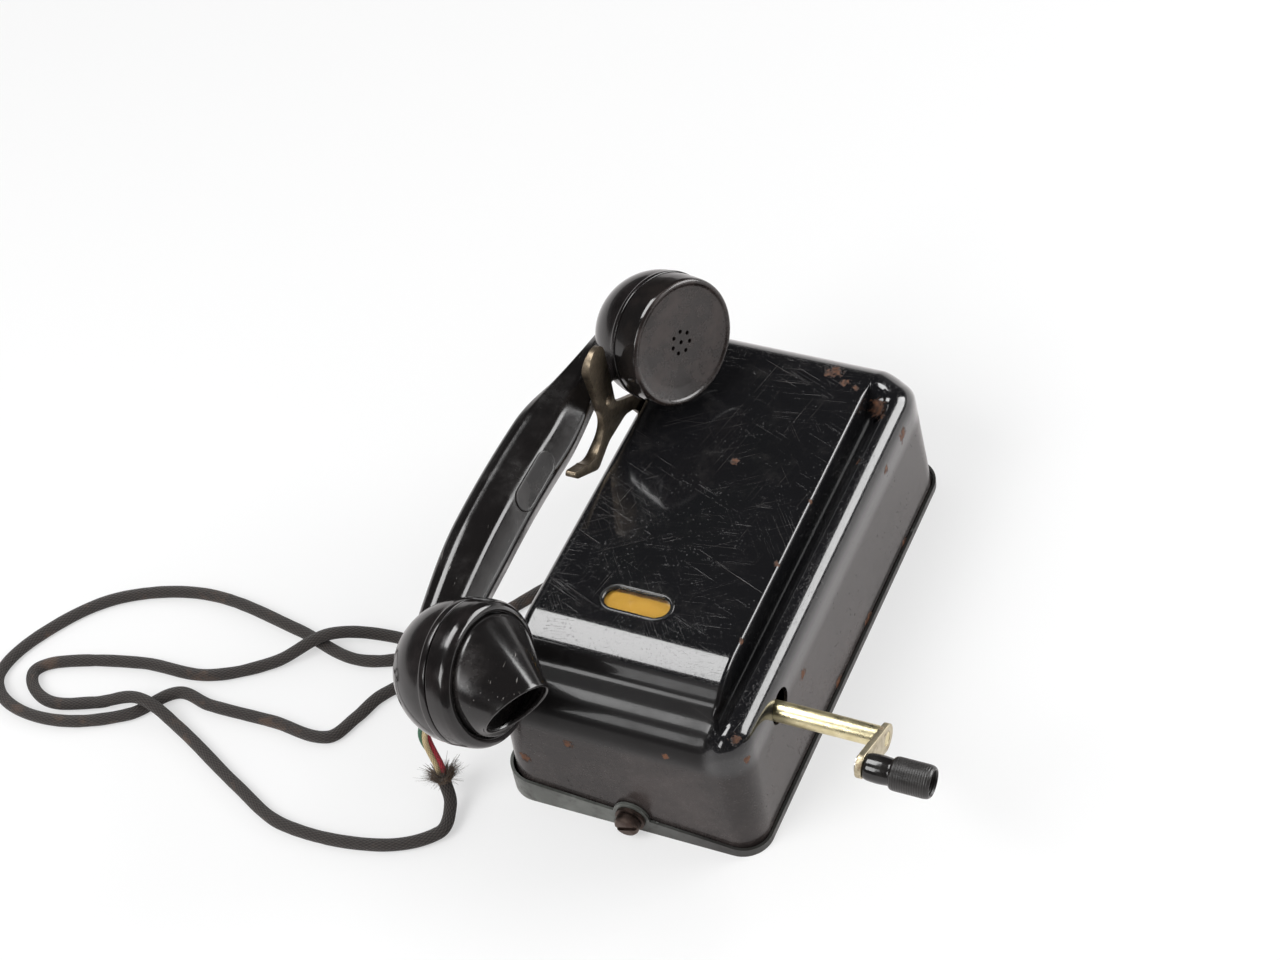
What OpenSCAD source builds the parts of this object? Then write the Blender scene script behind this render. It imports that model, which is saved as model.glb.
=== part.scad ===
// Magneto wall telephone lying on its back plate, with its handset resting over the left edge.
// +X is the telephone's right, +Y is towards its top, +Z comes out of the front.
// The back of the plate is z = 0, and the middle of the plate is x = 0, y = 0.

/* [Case] */
// Width of the back plate
box_w = 129; // [115:1:145]
// Length of the back plate
box_l = 247; // [225:1:270]
// Height of the rim of the cover above the back
rim_h = 78; // [72:0.5:84]
// Height of the raised front panel above the rim
panel_rise = 5; // [3:0.5:8]
// Sheet thickness of the cover
cover_t = 1.6; // [1.2:0.1:2.2]
// Sheet thickness of the back plate
plate_t = 1.6; // [1.2:0.1:2.5]
// Corner radius seen from the front
corner_r = 14; // [10:0.5:20]
// Depth of the long channel beside the panel
channel_depth = 8; // [5:0.5:11]

/* [Label window] */
// Length of the window
label_l = 33; // [26:1:40]
// Width of the window
label_w = 13.5; // [10:0.5:16]

/* [Crank] */
// Radius of the crank shaft
shaft_r = 4.9; // [4:0.1:5.5]
// Length of shaft outside the case
shaft_out = 52; // [40:1:60]
// Reach of the crank arm
arm_reach = 28.4; // [25:0.2:34]
// Length of the knob
knob_l = 31; // [27:0.5:40]
// Largest radius of the knob
knob_r = 7.6; // [6.8:0.1:8.5]
// Running clearance of shafts in their bearings
run_gap = 0.05; // [0.02:0.01:0.09]

/* [Generator] */
// Teeth of the large gear
gear_teeth = 26; // [24:1:26]
// Teeth of the pinion
pinion_teeth = 10; // [10:1:11]
// Radius of the armature
armature_r = 11; // [10:0.5:12]

/* [Ringer] */
// Radius of each gong
gong_r = 20; // [18:0.5:20]
// Distance between the two gong centres
gong_gap = 50; // [49:0.5:52]
// Height of the gong domes
gong_h = 15; // [12:0.5:17]

/* [Hook] */
// Thickness of the hook plate
hook_t = 2.4; // [2.2:0.1:2.9]
// Radius of the rocking shaft
hook_shaft_r = 4; // [3.5:0.1:4.5]

/* [Handset] */
// Distance between the receiver and transmitter centres
handset_l = 195.3; // [190:0.5:200]
// Radius of the receiver cap
receiver_r = 31; // [29:0.25:31]
// Radius of the transmitter collar
transmitter_r = 33; // [31:0.25:33]
// Radius of the mouthpiece where it meets its cap
horn_r = 26.9; // [25:0.25:27.5]
// Radius of the lip of the mouthpiece
lip_r = 14.5; // [12:0.25:15]
// Width of the handle
handle_w = 22; // [19:0.5:23]
// Radius of each sound hole
sound_hole_r = 0.85; // [0.6:0.05:1.2]

/* [Cord] */
// Diameter of the braided cord
cord_d = 6; // [5:0.25:6.25]
// Diameter of each coloured conductor
wire_d = 2.2; // [1.6:0.1:2.4]

/* [Hidden] */
$fn = 64;
hw = box_w / 2;
hl = box_l / 2;
// The cover stands inside the flange of the plate
lip_t = 1.4;
cw = hw - lip_t - 0.3;
cl = hl - lip_t - 0.3;
lean = 0.02;
side_r = 11;
top_r = 24;
panel_z = rim_h + panel_rise;
skirt_z = plate_t + 0.4;
ledge_z = rim_h - 4;
panel_left = -cw + 2;
panel_right = cw - 21.5;
channel_right = cw - 10.5;
bend_y = -hl + 43;
ledge_y = -hl + 24;
flange_low = 4;
flange_rise = 11;
crank_y = -hl + 42.2;
crank_z = rim_h - 19;
gear_r = gear_teeth / 2;
pinion_r = pinion_teeth / 2;
slot_w = armature_r - 4.2;
mesh_gap = 0.4;
gear_step = gear_r + pinion_r + mesh_gap;
arm_y = crank_y + gear_step * 0.717;
arm_z = crank_z - gear_step * 0.697;
wall_x = cw - lean * crank_z;
shaft_end = wall_x + shaft_out;
arm_t = 3;
// Direction of the crank arm, seen from the end of the shaft
arm_dir = [-0.888, 0.459];
knob_y = crank_y + arm_reach * arm_dir[0];
knob_z = crank_z + arm_reach * arm_dir[1];
hook_x = -cw + 0.8;
bracket_x = hook_x + 4.5;
pivot_y = hl - 49.5;
pivot_z = rim_h - 16;
ring_x = 12;
ring_y = hl - 35.5;
ring_z = 42;
gland_y = 12;
gland_z = 9;
label_x = -12.7;
label_y = -hl + 64;
screw_z = 9;
hs_at = [-hw + 29.4, hl - 60.66, rim_h + 45.47];
hs_turn = [5.62, -15.67, -4.54];
ear_tilt = -15.2;
cup_back = 14;
seat = 0.1;
cord_r = cord_d / 2;
wire_r = wire_d / 2;

// A cylinder along X between two positions
module xcyl(x0, x1, y, z, r) {
  translate([x0, y, z]) rotate([0, 90, 0]) cylinder(h = x1 - x0, r = r);
}

// A cylinder along Y between two positions
module ycyl(y0, y1, x, z, r) {
  translate([x, y0, z]) rotate([-90, 0, 0]) cylinder(h = y1 - y0, r = r);
}

// A cylinder along Z between two positions
module zcyl(z0, z1, x, y, r) {
  translate([x, y, z0]) cylinder(h = z1 - z0, r = r);
}

// A block between two corners
module block(a, b) {
  translate(a) cube(b - a);
}

// A rounded rectangle about the origin, from its half sizes
module round_rect(a, b, r) {
  square([2 * a - 2 * r, 2 * b], center = true);
  square([2 * a, 2 * b - 2 * r], center = true);
  for (sx = [-1, 1], sy = [-1, 1]) {
    translate([sx * (a - r), sy * (b - r)]) circle(r = r);
  }
}

// Cross section of the case across its width, shrunk by s on every side
module width_section(s, front) {
  a = cw - s;
  e = a - lean * front;
  r = side_r - s;
  polygon([[-a, -1], [a, -1], [e, front - r], [e - r, front], [-e + r, front], [-e, front - r]]);
  for (k = [-1, 1]) {
    translate([k * (e - r), front - r]) circle(r = r);
  }
}

// Section of the case along its length, from the ledge at the bottom to the rounded top
module length_section(s, front) {
  a = cl - s;
  r = top_r - s;
  q = 15 - s;
  low = ledge_z - s;
  polygon([[-a, -1], [a, -1], [a - 1.4, front - r], [a - 1.4 - r, front], [bend_y + 6 + s, front],
    [bend_y + s - 2, front - 3.4], [ledge_y + s + 2, low + 1], [ledge_y + s, low], [-a + 1.2 + q, low],
    [-a + 1.2, low - q]]);
  translate([a - 1.4 - r, front - r]) circle(r = r);
  translate([-a + 1.2 + q, low - q]) circle(r = q);
  translate([bend_y + 6 + s, front - 9]) circle(r = 9);
}

// Section along the length used beside the panel, which has no step at the bottom
module side_length_section(s) {
  a = cl - s;
  r = top_r - s;
  q = 11 - s;
  front = rim_h - s;
  polygon([[-a, -1], [a, -1], [a - 1.4, front - r], [a - 1.4 - r, front], [-a + 1.2 + q, front],
    [-a + 1.2, front - q]]);
  translate([a - 1.4 - r, front - r]) circle(r = r);
  translate([-a + 1.2 + q, front - q]) circle(r = q);
}

module along_y(len) {
  translate([0, len / 2, 0]) rotate([90, 0, 0]) linear_extrude(len) children();
}

module along_x(x0, x1) {
  translate([x0, 0, 0]) rotate([90, 0, 90]) linear_extrude(x1 - x0) children();
}

// The pressed shape of the case, shrunk by s for its inside
module case_shape(s) {
  intersection() {
    translate([0, 0, skirt_z - s]) linear_extrude(100) round_rect(cw - s, cl - s, corner_r - s);
    along_y(300) width_section(s, rim_h - s);
    union() {
      along_x(panel_right + 1 - s, 80) side_length_section(s);
      along_x(-80, panel_right + 1 - s) length_section(s, rim_h - s);
    }
  }
  intersection() {
    translate([0, 0, 20]) linear_extrude(100) round_rect(cw - s, cl - s, corner_r - s);
    along_y(300) panel_section(s);
    along_x(-80, 80) length_section(s, panel_z - s);
  }
}

// Cross section of the raised panel
module panel_section(s) {
  r = 6 - s;
  left = panel_left + s;
  right = panel_right - s;
  top = panel_z - s;
  polygon([[left, 20], [right, 20], [right, top - 2], [right - 2, top], [left + r, top], [left, top - r]]);
  translate([left + r, top - r]) circle(r = r);
  translate([right - 2, top - 2]) circle(r = 2);
}

// The long channel beside the panel, pointed at its lower end
module channel(s) {
  lower = -hl + 12;
  upper = hl - 26;
  depth = rim_h - channel_depth - s;
  translate([0, 0, depth]) linear_extrude(40) polygon([[panel_right - s, upper + s],
    [channel_right + 1 + s, upper + s], [channel_right - 2 + s, lower], [channel_right - 5, lower - 3 - s],
    [panel_right + 1 - s, lower + 6]]);
}

// Region kept for the sloping flange of the plate
module under_flange(extra) {
  rotate([90, 0, 0]) linear_extrude(box_l + 20, center = true) polygon([[-hw - 5, -5], [hw + 5, -5],
    [hw + 5, flange_low + extra - 0.4], [-hw - 5, flange_low + flange_rise + extra + 0.4]]);
}

module back_plate() {
  color("dimgray") difference() {
    union() {
      linear_extrude(plate_t) round_rect(hw, hl, corner_r);
      intersection() {
        linear_extrude(40) difference() {
          round_rect(hw, hl, corner_r);
          round_rect(hw - lip_t, hl - lip_t, corner_r - lip_t);
        }
        union() {
          under_flange(0);
          ycyl(-hl - 1, -hl + 3, 1, screw_z, 9);
        }
      }
    }
    for (sx = [-1, 1], sy = [-1, 1]) {
      zcyl(-1, plate_t + 1, sx * 42, sy * 104, 2.6);
    }
    ycyl(-hl - 2, -hl + 4, 1, screw_z, 2.8);
    xcyl(-hw - 2, -hw + 4, gland_y, gland_z, 5.2);
  }
}

module cover() {
  color([0.03, 0.03, 0.035]) difference() {
    case_shape(0);
    difference() {
      case_shape(cover_t);
      channel(cover_t);
    }
    channel(0);
    translate([label_x, label_y, panel_z - 5]) linear_extrude(10) stadium(label_l, label_w);
    xcyl(cw - 12, cw + 6, crank_y + 2.6, crank_z - 2.4, shaft_r + 3.9);
    xcyl(-cw - 6, -cw + 12, pivot_y, pivot_z, hook_shaft_r + 1.2);
    zcyl(rim_h - 20, rim_h, panel_right + 8, hl - 39, 2.2);
    ycyl(-hl - 2, -hl + 8, 1, screw_z, 2.8);
    xcyl(-hw - 2, -cw + 6, gland_y, gland_z, 6.6);
    block([-hw - 2, gland_y - 6.6, -5], [-cw + 6, gland_y + 6.6, gland_z]);
  }
}

module stadium(l, w) {
  square([l - w, w], center = true);
  for (k = [-1, 1]) {
    translate([k * (l - w) / 2, 0]) circle(r = w / 2);
  }
}

module label_rim() {
  color("black") translate([label_x, label_y, 0]) {
    translate([0, 0, panel_z + 0.05]) linear_extrude(0.7) difference() {
      stadium(label_l + 2.4, label_w + 2.4);
      stadium(label_l - 0.6, label_w - 0.6);
    }
    translate([0, 0, panel_z - 1.6]) linear_extrude(1.8) difference() {
      stadium(label_l - 0.2, label_w - 0.2);
      stadium(label_l - 1.4, label_w - 1.4);
    }
  }
}

module label_card() {
  color([0.78, 0.55, 0.16]) translate([label_x, label_y, panel_z - cover_t - 1.3])
    linear_extrude(0.5) stadium(label_l + 5, label_w + 5);
}

module label_window() {
  color([0.9, 0.9, 0.85, 0.35]) translate([label_x, label_y, panel_z - cover_t - 0.7])
    linear_extrude(0.6) stadium(label_l + 5, label_w + 5);
}

module cover_screw() {
  color([0.2, 0.14, 0.1]) difference() {
    union() {
      ycyl(-hl - 7.2, -hl - 2.2, 1, screw_z, 6);
      ycyl(-hl - 2.3, -hl + 9, 1, screw_z, 2.4);
    }
    translate([1, -hl - 7, screw_z]) rotate([0, 20, 0]) cube([14, 2.4, 1.4], center = true);
  }
}

module screw_collar() {
  color([0.3, 0.22, 0.16]) difference() {
    ycyl(-hl - 1.9, -hl - 0.3, 1, screw_z, 7.2);
    ycyl(-hl - 3, -hl + 1, 1, screw_z, 2.7);
  }
}

module cover_nut() {
  color("dimgray") difference() {
    union() {
      block([-8, -hl + 4, plate_t + seat], [10, -hl + 8, 17]);
      block([-8, -hl + 4, plate_t + seat], [10, -hl + 18, plate_t + seat + 2]);
    }
    ycyl(-hl + 3, -hl + 10, 1, screw_z, 2.5);
  }
}

module inlet_gland() {
  color([0.1, 0.09, 0.08]) difference() {
    union() {
      xcyl(-hw - 8, -hw - 0.3, gland_y, gland_z, 6.4);
      xcyl(-hw - 0.4, -hw + lip_t + 0.4, gland_y, gland_z, 4.9);
      xcyl(-hw + lip_t + 0.3, -hw + 8, gland_y, gland_z, 6.2);
    }
    xcyl(-hw - 9, -hw + 9, gland_y, gland_z, cord_r + 0.5);
  }
}

// Rings of a swept tube: each ring stands square to the route, which runs from point to point
function unit(v) = v / norm(v);
function heading(p, i) = unit(p[min(i + 1, len(p) - 1)] - p[max(i - 1, 0)]);
function ring(p, i, r, n, across) =
  let (t = heading(p, i), u = unit(cross(t, across)), v = cross(u, t))
  [for (k = [0:n - 1]) p[i] + r * (cos(360 * k / n) * u + sin(360 * k / n) * v)];

module tube(p, r, n, across) {
  m = len(p);
  polyhedron(
    points = [for (i = [0:m - 1]) each ring(p, i, r, n, across)],
    faces = concat(
      [[for (k = [0:n - 1]) k]],
      [for (i = [0:m - 2], k = [0:n - 1]) [i * n + k, i * n + n + k, i * n + n + (k + 1) % n, i * n + (k + 1) % n]],
      [[for (k = [n - 1:-1:0]) (m - 1) * n + k]]));
}

// Route of the cord from the gland, along the table and back to the frayed end under the handset
cord_points = [
  [-hw + 3, gland_y, gland_z], [-hw - 9, gland_y, gland_z], [-84, 7, 5], [-100, -12, 3.2], [-116, -38, 3.1],
  [-128, -68, 3.1], [-146, -92, 3.1], [-151.5, -107, 3.1], [-160, -122, 3.1], [-189, -121.5, 3.1],
  [-225, -122, 3.1], [-244, -120, 3.1], [-261, -139, 3.1], [-293, -153, 3.1], [-324, -151, 3.1],
  [-338, -135, 3.1], [-326, -101, 3.1], [-301, -74, 3.1], [-259, -60, 3.1], [-204, -67, 3.1],
  [-171, -75, 3.1], [-150, -70, 3.1], [-143, -61, 3.1], [-156, -57, 3.5], [-184, -69, 9.8], [-206, -89, 3.8],
  [-235, -106, 3.2], [-271, -109, 3.1], [-312, -121, 3.1], [-321, -132, 3.2], [-305, -144, 3.1],
  [-280, -139, 5], [-257, -133, 10], [-233, -139, 4.1], [-188, -161, 3.1], [-156, -174, 3.1],
  [-109, -171, 3.4], [-83, -156, 4], [-83, -142, 7.5], [-88.4, -134.6, 16]
];
// A smooth curve through the points, with one more point half way along each stretch
function bowed(a, b, ha, hb, t) =
  let (l = norm(b - a), u = 1 - t)
  a * u * u * (1 + 2 * t) + ha * l * t * u * u - hb * l * t * t * u + b * t * t * (3 - 2 * t);
cord_route = [for (i = [0:len(cord_points) - 1], t = i < len(cord_points) - 1 ? [0, 0.5] : [0])
  t == 0 ? cord_points[i] : bowed(cord_points[i], cord_points[i + 1], heading(cord_points, i),
    heading(cord_points, i + 1), t)];
// Where the coloured conductors leave the braid, and where they enter the handset
fray_at = cord_route[len(cord_route) - 1];
fray_l = 4;
fray_dir = heading(cord_route, len(cord_route) - 1);
wire_top = [-82.1, -132.3, 79];

function path_length(p) = len(p) < 2 ? 0 : norm(p[1] - p[0]) + path_length([for (i = [1:len(p) - 1]) p[i]]);
echo(cord_length = path_length(cord_route));

module line_cord() {
  color([0.13, 0.1, 0.08]) tube(cord_route, cord_r, 10, [0, 0, 1]);
}

module braid_end() {
  color([0.3, 0.24, 0.17]) translate(fray_at) rotate([0, acos(fray_dir[2]), atan2(fray_dir[1], fray_dir[0])])
    translate([0, 0, 0.2]) cylinder(h = fray_l, r1 = cord_r, r2 = cord_r + 0.9);
}

// One conductor, bowed out by its own amount between the braid and the handset
module conductor(side, bow) {
  low = fray_at + (fray_l + 3) * fray_dir + [side[0] * 0.5, side[1] * 0.5, 0];
  high = wire_top + [side[0] * 0.6, side[1] * 0.6, 0];
  tube([for (i = [0:8]) low + (high - low) * i / 8 + pow(sin(180 * i / 8), 2) * bow], wire_r, 8, [1, 0, 0]);
}

module wire_green() {
  color([0.16, 0.36, 0.25]) conductor([-2.4, -2.4], [-9, -3, 0]);
}

module wire_cream() {
  color([0.85, 0.8, 0.66]) conductor([2.4, -2.4], [4, -5, 0]);
}

module wire_red() {
  color([0.6, 0.1, 0.08]) conductor([0, 2.8], [-3, 5, 0]);
}

// Outline of two discs of different size joined by straight sides
module link(a, b, ra, rb) {
  d = norm(b - a);
  turn = atan2(b[1] - a[1], b[0] - a[0]);
  open = acos((ra - rb) / d);
  translate(a) circle(r = ra);
  translate(b) circle(r = rb);
  polygon([for (k = [[a, ra, 1], [a, ra, -1], [b, rb, -1], [b, rb, 1]])
    k[0] + (k[1] - 0.03) * [cos(turn + k[2] * open), sin(turn + k[2] * open)]]);
}

module hook_lever() {
  color([0.5, 0.42, 0.3]) along_x(hook_x - hook_t, hook_x) translate([pivot_y, pivot_z]) difference() {
    union() {
      polygon([[-84.5, 41], [-86, 39], [-83.7, 35.7], [-64.2, 21.5], [-50, 26.4], [-30.6, 25], [-22, 20],
        [-7.5, -5], [7.5, 5], [-12, 22], [-31, 35.5], [-37.6, 41], [-37.6, 56], [-38.4, 75], [-55.3, 75],
        [-51.8, 48], [-73.5, 34.5]]);
      translate([-46.8, 75]) circle(r = 8.6);
      circle(r = 9);
    }
    translate([-64.5, 44]) circle(r = 13);
    translate([-43.6, 47.4]) circle(r = 2.75);
    circle(r = hook_shaft_r);
  }
}

module hook_shaft() {
  color("silver") {
    xcyl(hook_x - hook_t - 0.02, bracket_x + 13.5, pivot_y, pivot_z, hook_shaft_r - 0.02);
    xcyl(hook_x - hook_t - 1.4, hook_x - hook_t - 0.02, pivot_y, pivot_z, hook_shaft_r + 1.6);
  }
}

module hook_bracket() {
  color("silver") difference() {
    union() {
      block([bracket_x, pivot_y - 8, plate_t + seat], [bracket_x + 1.5, pivot_y + 8, pivot_z + 8]);
      block([bracket_x + 9.5, pivot_y - 8, plate_t + seat], [bracket_x + 11, pivot_y + 8, pivot_z + 8]);
      block([bracket_x, pivot_y + 6.5, plate_t + seat], [bracket_x + 11, pivot_y + 8, pivot_z + 8]);
      block([bracket_x, pivot_y - 8, plate_t + seat], [bracket_x + 11, pivot_y + 8, plate_t + seat + 1.5]);
    }
    xcyl(bracket_x - 2.5, bracket_x + 13.5, pivot_y, pivot_z, hook_shaft_r + run_gap);
  }
}

module hook_spring() {
  color("silver") translate([bracket_x + 2.3, pivot_y, pivot_z]) rotate([0, 90, 0]) rotate_extrude() {
    for (i = [0:3]) {
      translate([hook_shaft_r + 0.9, 0.9 * i]) circle(r = 0.5, $fn = 24);
    }
  }
}

module hook_cam() {
  color("gold") along_x(bracket_x + 6.3, bracket_x + 9.1) translate([pivot_y, pivot_z]) difference() {
    link([0, 0], [-19, -5], 6.4, 2.6);
    circle(r = hook_shaft_r);
  }
}

module contact_block() {
  color([0.35, 0.18, 0.08]) difference() {
    union() {
      block([bracket_x + 2.5, pivot_y - 50, plate_t + seat], [bracket_x + 11, pivot_y - 38, pivot_z + 6]);
      block([bracket_x + 2.5, pivot_y - 54, plate_t + seat], [bracket_x + 11, pivot_y - 32, plate_t + 5]);
    }
    for (i = [0:2]) {
      block([bracket_x + 1.5, pivot_y - 50.5, pivot_z - 1.1 + 2.4 * i],
        [bracket_x + 10.2, pivot_y - 37, pivot_z - 0.4 + 2.4 * i]);
    }
  }
}

module contact_springs() {
  color("gold") for (i = [0:2]) {
    block([bracket_x + 3, pivot_y - 50, pivot_z - 1 + 2.4 * i], [bracket_x + 10, pivot_y - 17 + i, pivot_z - 0.5 + 2.4 * i]);
  }
}

module crank_shaft() {
  color([0.62, 0.58, 0.38]) {
    xcyl(16.5, 37.2, crank_y, crank_z, 3.5);
    xcyl(37.2, shaft_end - arm_t - 0.05, crank_y, crank_z, shaft_r);
    xcyl(shaft_end - arm_t - 0.05, shaft_end - 0.2, crank_y, crank_z, 3.2);
  }
}

module crank_arm() {
  color([0.62, 0.58, 0.42]) along_x(shaft_end - arm_t, shaft_end) difference() {
    link([crank_y, crank_z], [knob_y, knob_z], 6.8, 6);
    translate([crank_y, crank_z]) circle(r = 3.25);
    translate([knob_y, knob_z]) circle(r = 2.5);
  }
}

module knob_pin() {
  color("silver") {
    xcyl(shaft_end - arm_t - 0.9, shaft_end - arm_t, knob_y, knob_z, 4);
    xcyl(shaft_end - arm_t, shaft_end + knob_l - 8.2, knob_y, knob_z, 2.48);
    xcyl(shaft_end + knob_l - 8.2, shaft_end + knob_l - 6.8, knob_y, knob_z, 4);
  }
}

module crank_knob() {
  neck = 0.38 * knob_l;
  hollow = knob_l - 9;
  bore = 2.5 + run_gap;
  color([0.04, 0.04, 0.045]) translate([shaft_end + 0.3, knob_y, knob_z]) rotate([0, 90, 0]) rotate_extrude()
    polygon([[bore, 0], [4.9, 0], [5.4, 0.5], [5.6, neck * 0.6], [6.2, neck * 0.8], [7.1, neck * 0.95],
      [knob_r - 0.1, neck + 0.8], [knob_r, neck + 2], [knob_r, knob_l - 3.4], [knob_r - 0.3, knob_l - 1.6],
      [knob_r - 0.9, knob_l - 0.6], [knob_r - 1.5, knob_l - 0.3], [knob_r - 2, knob_l - 0.6], [knob_r - 2, hollow],
      [bore, hollow]]);
}

// A spur gear with low teeth
module gear(n, outer, bore, width) {
  linear_extrude(width) difference() {
    polygon([for (i = [0:n - 1], k = [[-0.3, -0.9], [-0.14, 0], [0.14, 0], [0.3, -0.9]])
      (outer + k[1]) * [cos(360 * (i + k[0]) / n), sin(360 * (i + k[0]) / n)]]);
    circle(r = bore);
  }
}

module crank_gear() {
  color("gold") translate([22, crank_y, crank_z]) rotate([0, 90, 0]) gear(gear_teeth, gear_r, 3.52, 6);
}

module pinion() {
  color("gold") translate([21.5, arm_y, arm_z]) rotate([0, 90, 0]) gear(pinion_teeth, pinion_r, 3.02, 7);
}

module armature_shaft() {
  color("silver") xcyl(-38, 36, arm_y, arm_z, 3);
}

module armature_core() {
  color("dimgray") difference() {
    xcyl(-30, 12, arm_y, arm_z, armature_r);
    for (k = [-1, 1]) {
      block([-31, arm_y - slot_w, arm_z + k * 6 - 2], [13, arm_y + slot_w, arm_z + k * 6 + 2]);
      block([-31, arm_y - 3.5, arm_z + k * 10 - 2.5], [13, arm_y + 3.5, arm_z + k * 10 + 2.5]);
    }
    xcyl(-40, 20, arm_y, arm_z, 3.02);
  }
}

module armature_winding() {
  color([0.3, 0.18, 0.1]) difference() {
    block([-32.4, arm_y - slot_w + 0.3, arm_z - 7.8], [14.4, arm_y + slot_w - 0.3, arm_z + 7.8]);
    block([-30.1, arm_y - 8, arm_z - 4.2], [12.1, arm_y + 8, arm_z + 4.2]);
    xcyl(-40, 20, arm_y, arm_z, 3.3);
  }
}

module pole_shoes() {
  color("dimgray") difference() {
    block([-33.3, arm_y - 15, arm_z - 12], [16.2, arm_y + 15, arm_z + 12]);
    xcyl(-40, 20, arm_y, arm_z, armature_r + 0.5);
    block([-34, arm_y - 4, arm_z - 13], [17, arm_y + 4, arm_z + 13]);
  }
}

module magnets() {
  low = arm_z - 16;
  color([0.25, 0.07, 0.05]) for (i = [0:3]) {
    along_x(-32 + 12 * i, -21.2 + 12 * i) difference() {
      union() {
        translate([arm_y, low]) circle(r = 22);
        translate([arm_y - 22, low]) square([44, 28]);
      }
      translate([arm_y, low]) circle(r = 15.3);
      translate([arm_y - 15.3, low]) square([30.6, 30]);
    }
  }
}

module generator_frame() {
  color("gold") for (k = [[-36, 0], [16.5, 1], [34, 1]]) {
    along_x(k[0], k[0] + 2.4) difference() {
      translate([arm_y - 23, 4.3]) square([46, crank_z + 4.4]);
      translate([arm_y, arm_z]) circle(r = 3 + run_gap);
      if (k[1] == 1) {
        translate([crank_y, crank_z]) circle(r = 3.5 + run_gap);
      }
    }
  }
}

module generator_base() {
  color("dimgray") block([-38, arm_y - 24, plate_t + seat], [38, arm_y + 24, 4.2]);
}

module gong(x) {
  color([0.72, 0.7, 0.62]) translate([x, ring_y, ring_z]) rotate_extrude() polygon(concat(
    [for (a = [0:9:81]) [gong_r * cos(a), gong_h * sin(a)]],
    [[3.1, gong_h], [3.1, gong_h - 1.6]],
    [for (a = [81:-9:0]) [(gong_r - 1.6) * cos(a), (gong_h - 1.6) * sin(a)]]));
}

module gong_left() {
  gong(-gong_gap / 2);
}

module gong_right() {
  gong(gong_gap / 2);
}

module gong_posts() {
  color("silver") for (k = [-1, 1]) {
    zcyl(plate_t + seat, ring_z + gong_h - 2.6, k * gong_gap / 2, ring_y, 5);
    zcyl(ring_z + gong_h - 2.6, ring_z + gong_h + 1, k * gong_gap / 2, ring_y, 2.4);
  }
}

module gong_screws() {
  color("silver") for (k = [-1, 1]) {
    zcyl(ring_z + gong_h + 1.1, ring_z + gong_h + 3.6, k * gong_gap / 2, ring_y, 5.4);
  }
}

module ringer_yoke() {
  color("dimgray") difference() {
    union() {
      block([-23, 26, plate_t + seat], [23, 28.5, ring_z + 12.6]);
      block([-23, 26, plate_t + seat], [23, 44, plate_t + seat + 2]);
      block([-5, 26, ring_z + 10.4], [5, ring_y - 20, ring_z + 12.6]);
      block([-5, 26, ring_z - 12.6], [5, ring_y - 20, ring_z - 10.4]);
      for (k = [-1, 1]) {
        ycyl(28, ring_y - 27.5, k * ring_x, ring_z, 3.5);
      }
    }
    zcyl(ring_z - 14, ring_z + 14, 0, ring_y - 24, 1.5 + run_gap);
  }
}

module ringer_coils() {
  color([0.45, 0.2, 0.1]) for (k = [-1, 1]) {
    difference() {
      union() {
        ycyl(28.8, 31, k * ring_x, ring_z, 10);
        ycyl(30.5, 56.5, k * ring_x, ring_z, 9.2);
        ycyl(56, 58.2, k * ring_x, ring_z, 10);
      }
      ycyl(28, 60, k * ring_x, ring_z, 3.6);
    }
  }
}

module ringer_armature() {
  color("dimgray") {
    difference() {
      block([-18, ring_y - 26, ring_z - 4], [18, ring_y - 22.4, ring_z + 4]);
      zcyl(ring_z - 5, ring_z + 5, 0, ring_y - 24, 1.4);
    }
    zcyl(ring_z - 13, ring_z + 13, 0, ring_y - 24, 1.5);
  }
}

module clapper() {
  color("silver") {
    ycyl(ring_y - 22.3, ring_y - 1, 0, ring_z, 1);
    translate([0, ring_y, ring_z]) sphere(r = 3.4);
  }
}

module ringer_magnet() {
  color([0.25, 0.07, 0.05]) block([-6, 20.5, plate_t + seat], [6, 25.8, ring_z + 8]);
}

module induction_core() {
  color("dimgray") xcyl(-37, 37, 4, 20, 5);
}

module induction_winding() {
  color([0.16, 0.3, 0.2]) difference() {
    xcyl(-31, 31, 4, 20, 11);
    xcyl(-32, 32, 4, 20, 5.05);
  }
}

module induction_cheeks() {
  color([0.4, 0.24, 0.12]) for (k = [-1, 1]) {
    difference() {
      block([k * 33.2 - 2, -9, plate_t + seat], [k * 33.2 + 2, 17, 33]);
      xcyl(-40, 40, 4, 20, 5.05);
    }
  }
}

module capacitor() {
  color([0.55, 0.55, 0.5]) difference() {
    block([-48, -38, plate_t + seat], [-6, -14, 30]);
    for (x = [-38, -16]) {
      zcyl(29, 31, x, -26, 1.6);
    }
  }
}

module terminal_block() {
  color([0.35, 0.18, 0.08]) difference() {
    block([2, -38, plate_t + seat], [54, -20, 13]);
    for (i = [0:4]) {
      zcyl(5, 14, 8 + 10 * i, -29, 1.6);
    }
  }
}

module terminal_screws() {
  color("gold") for (i = [0:4]) {
    zcyl(6, 13.1, 8 + 10 * i, -29, 1.5);
    zcyl(13.1, 15.3, 8 + 10 * i, -29, 3);
  }
}

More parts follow.
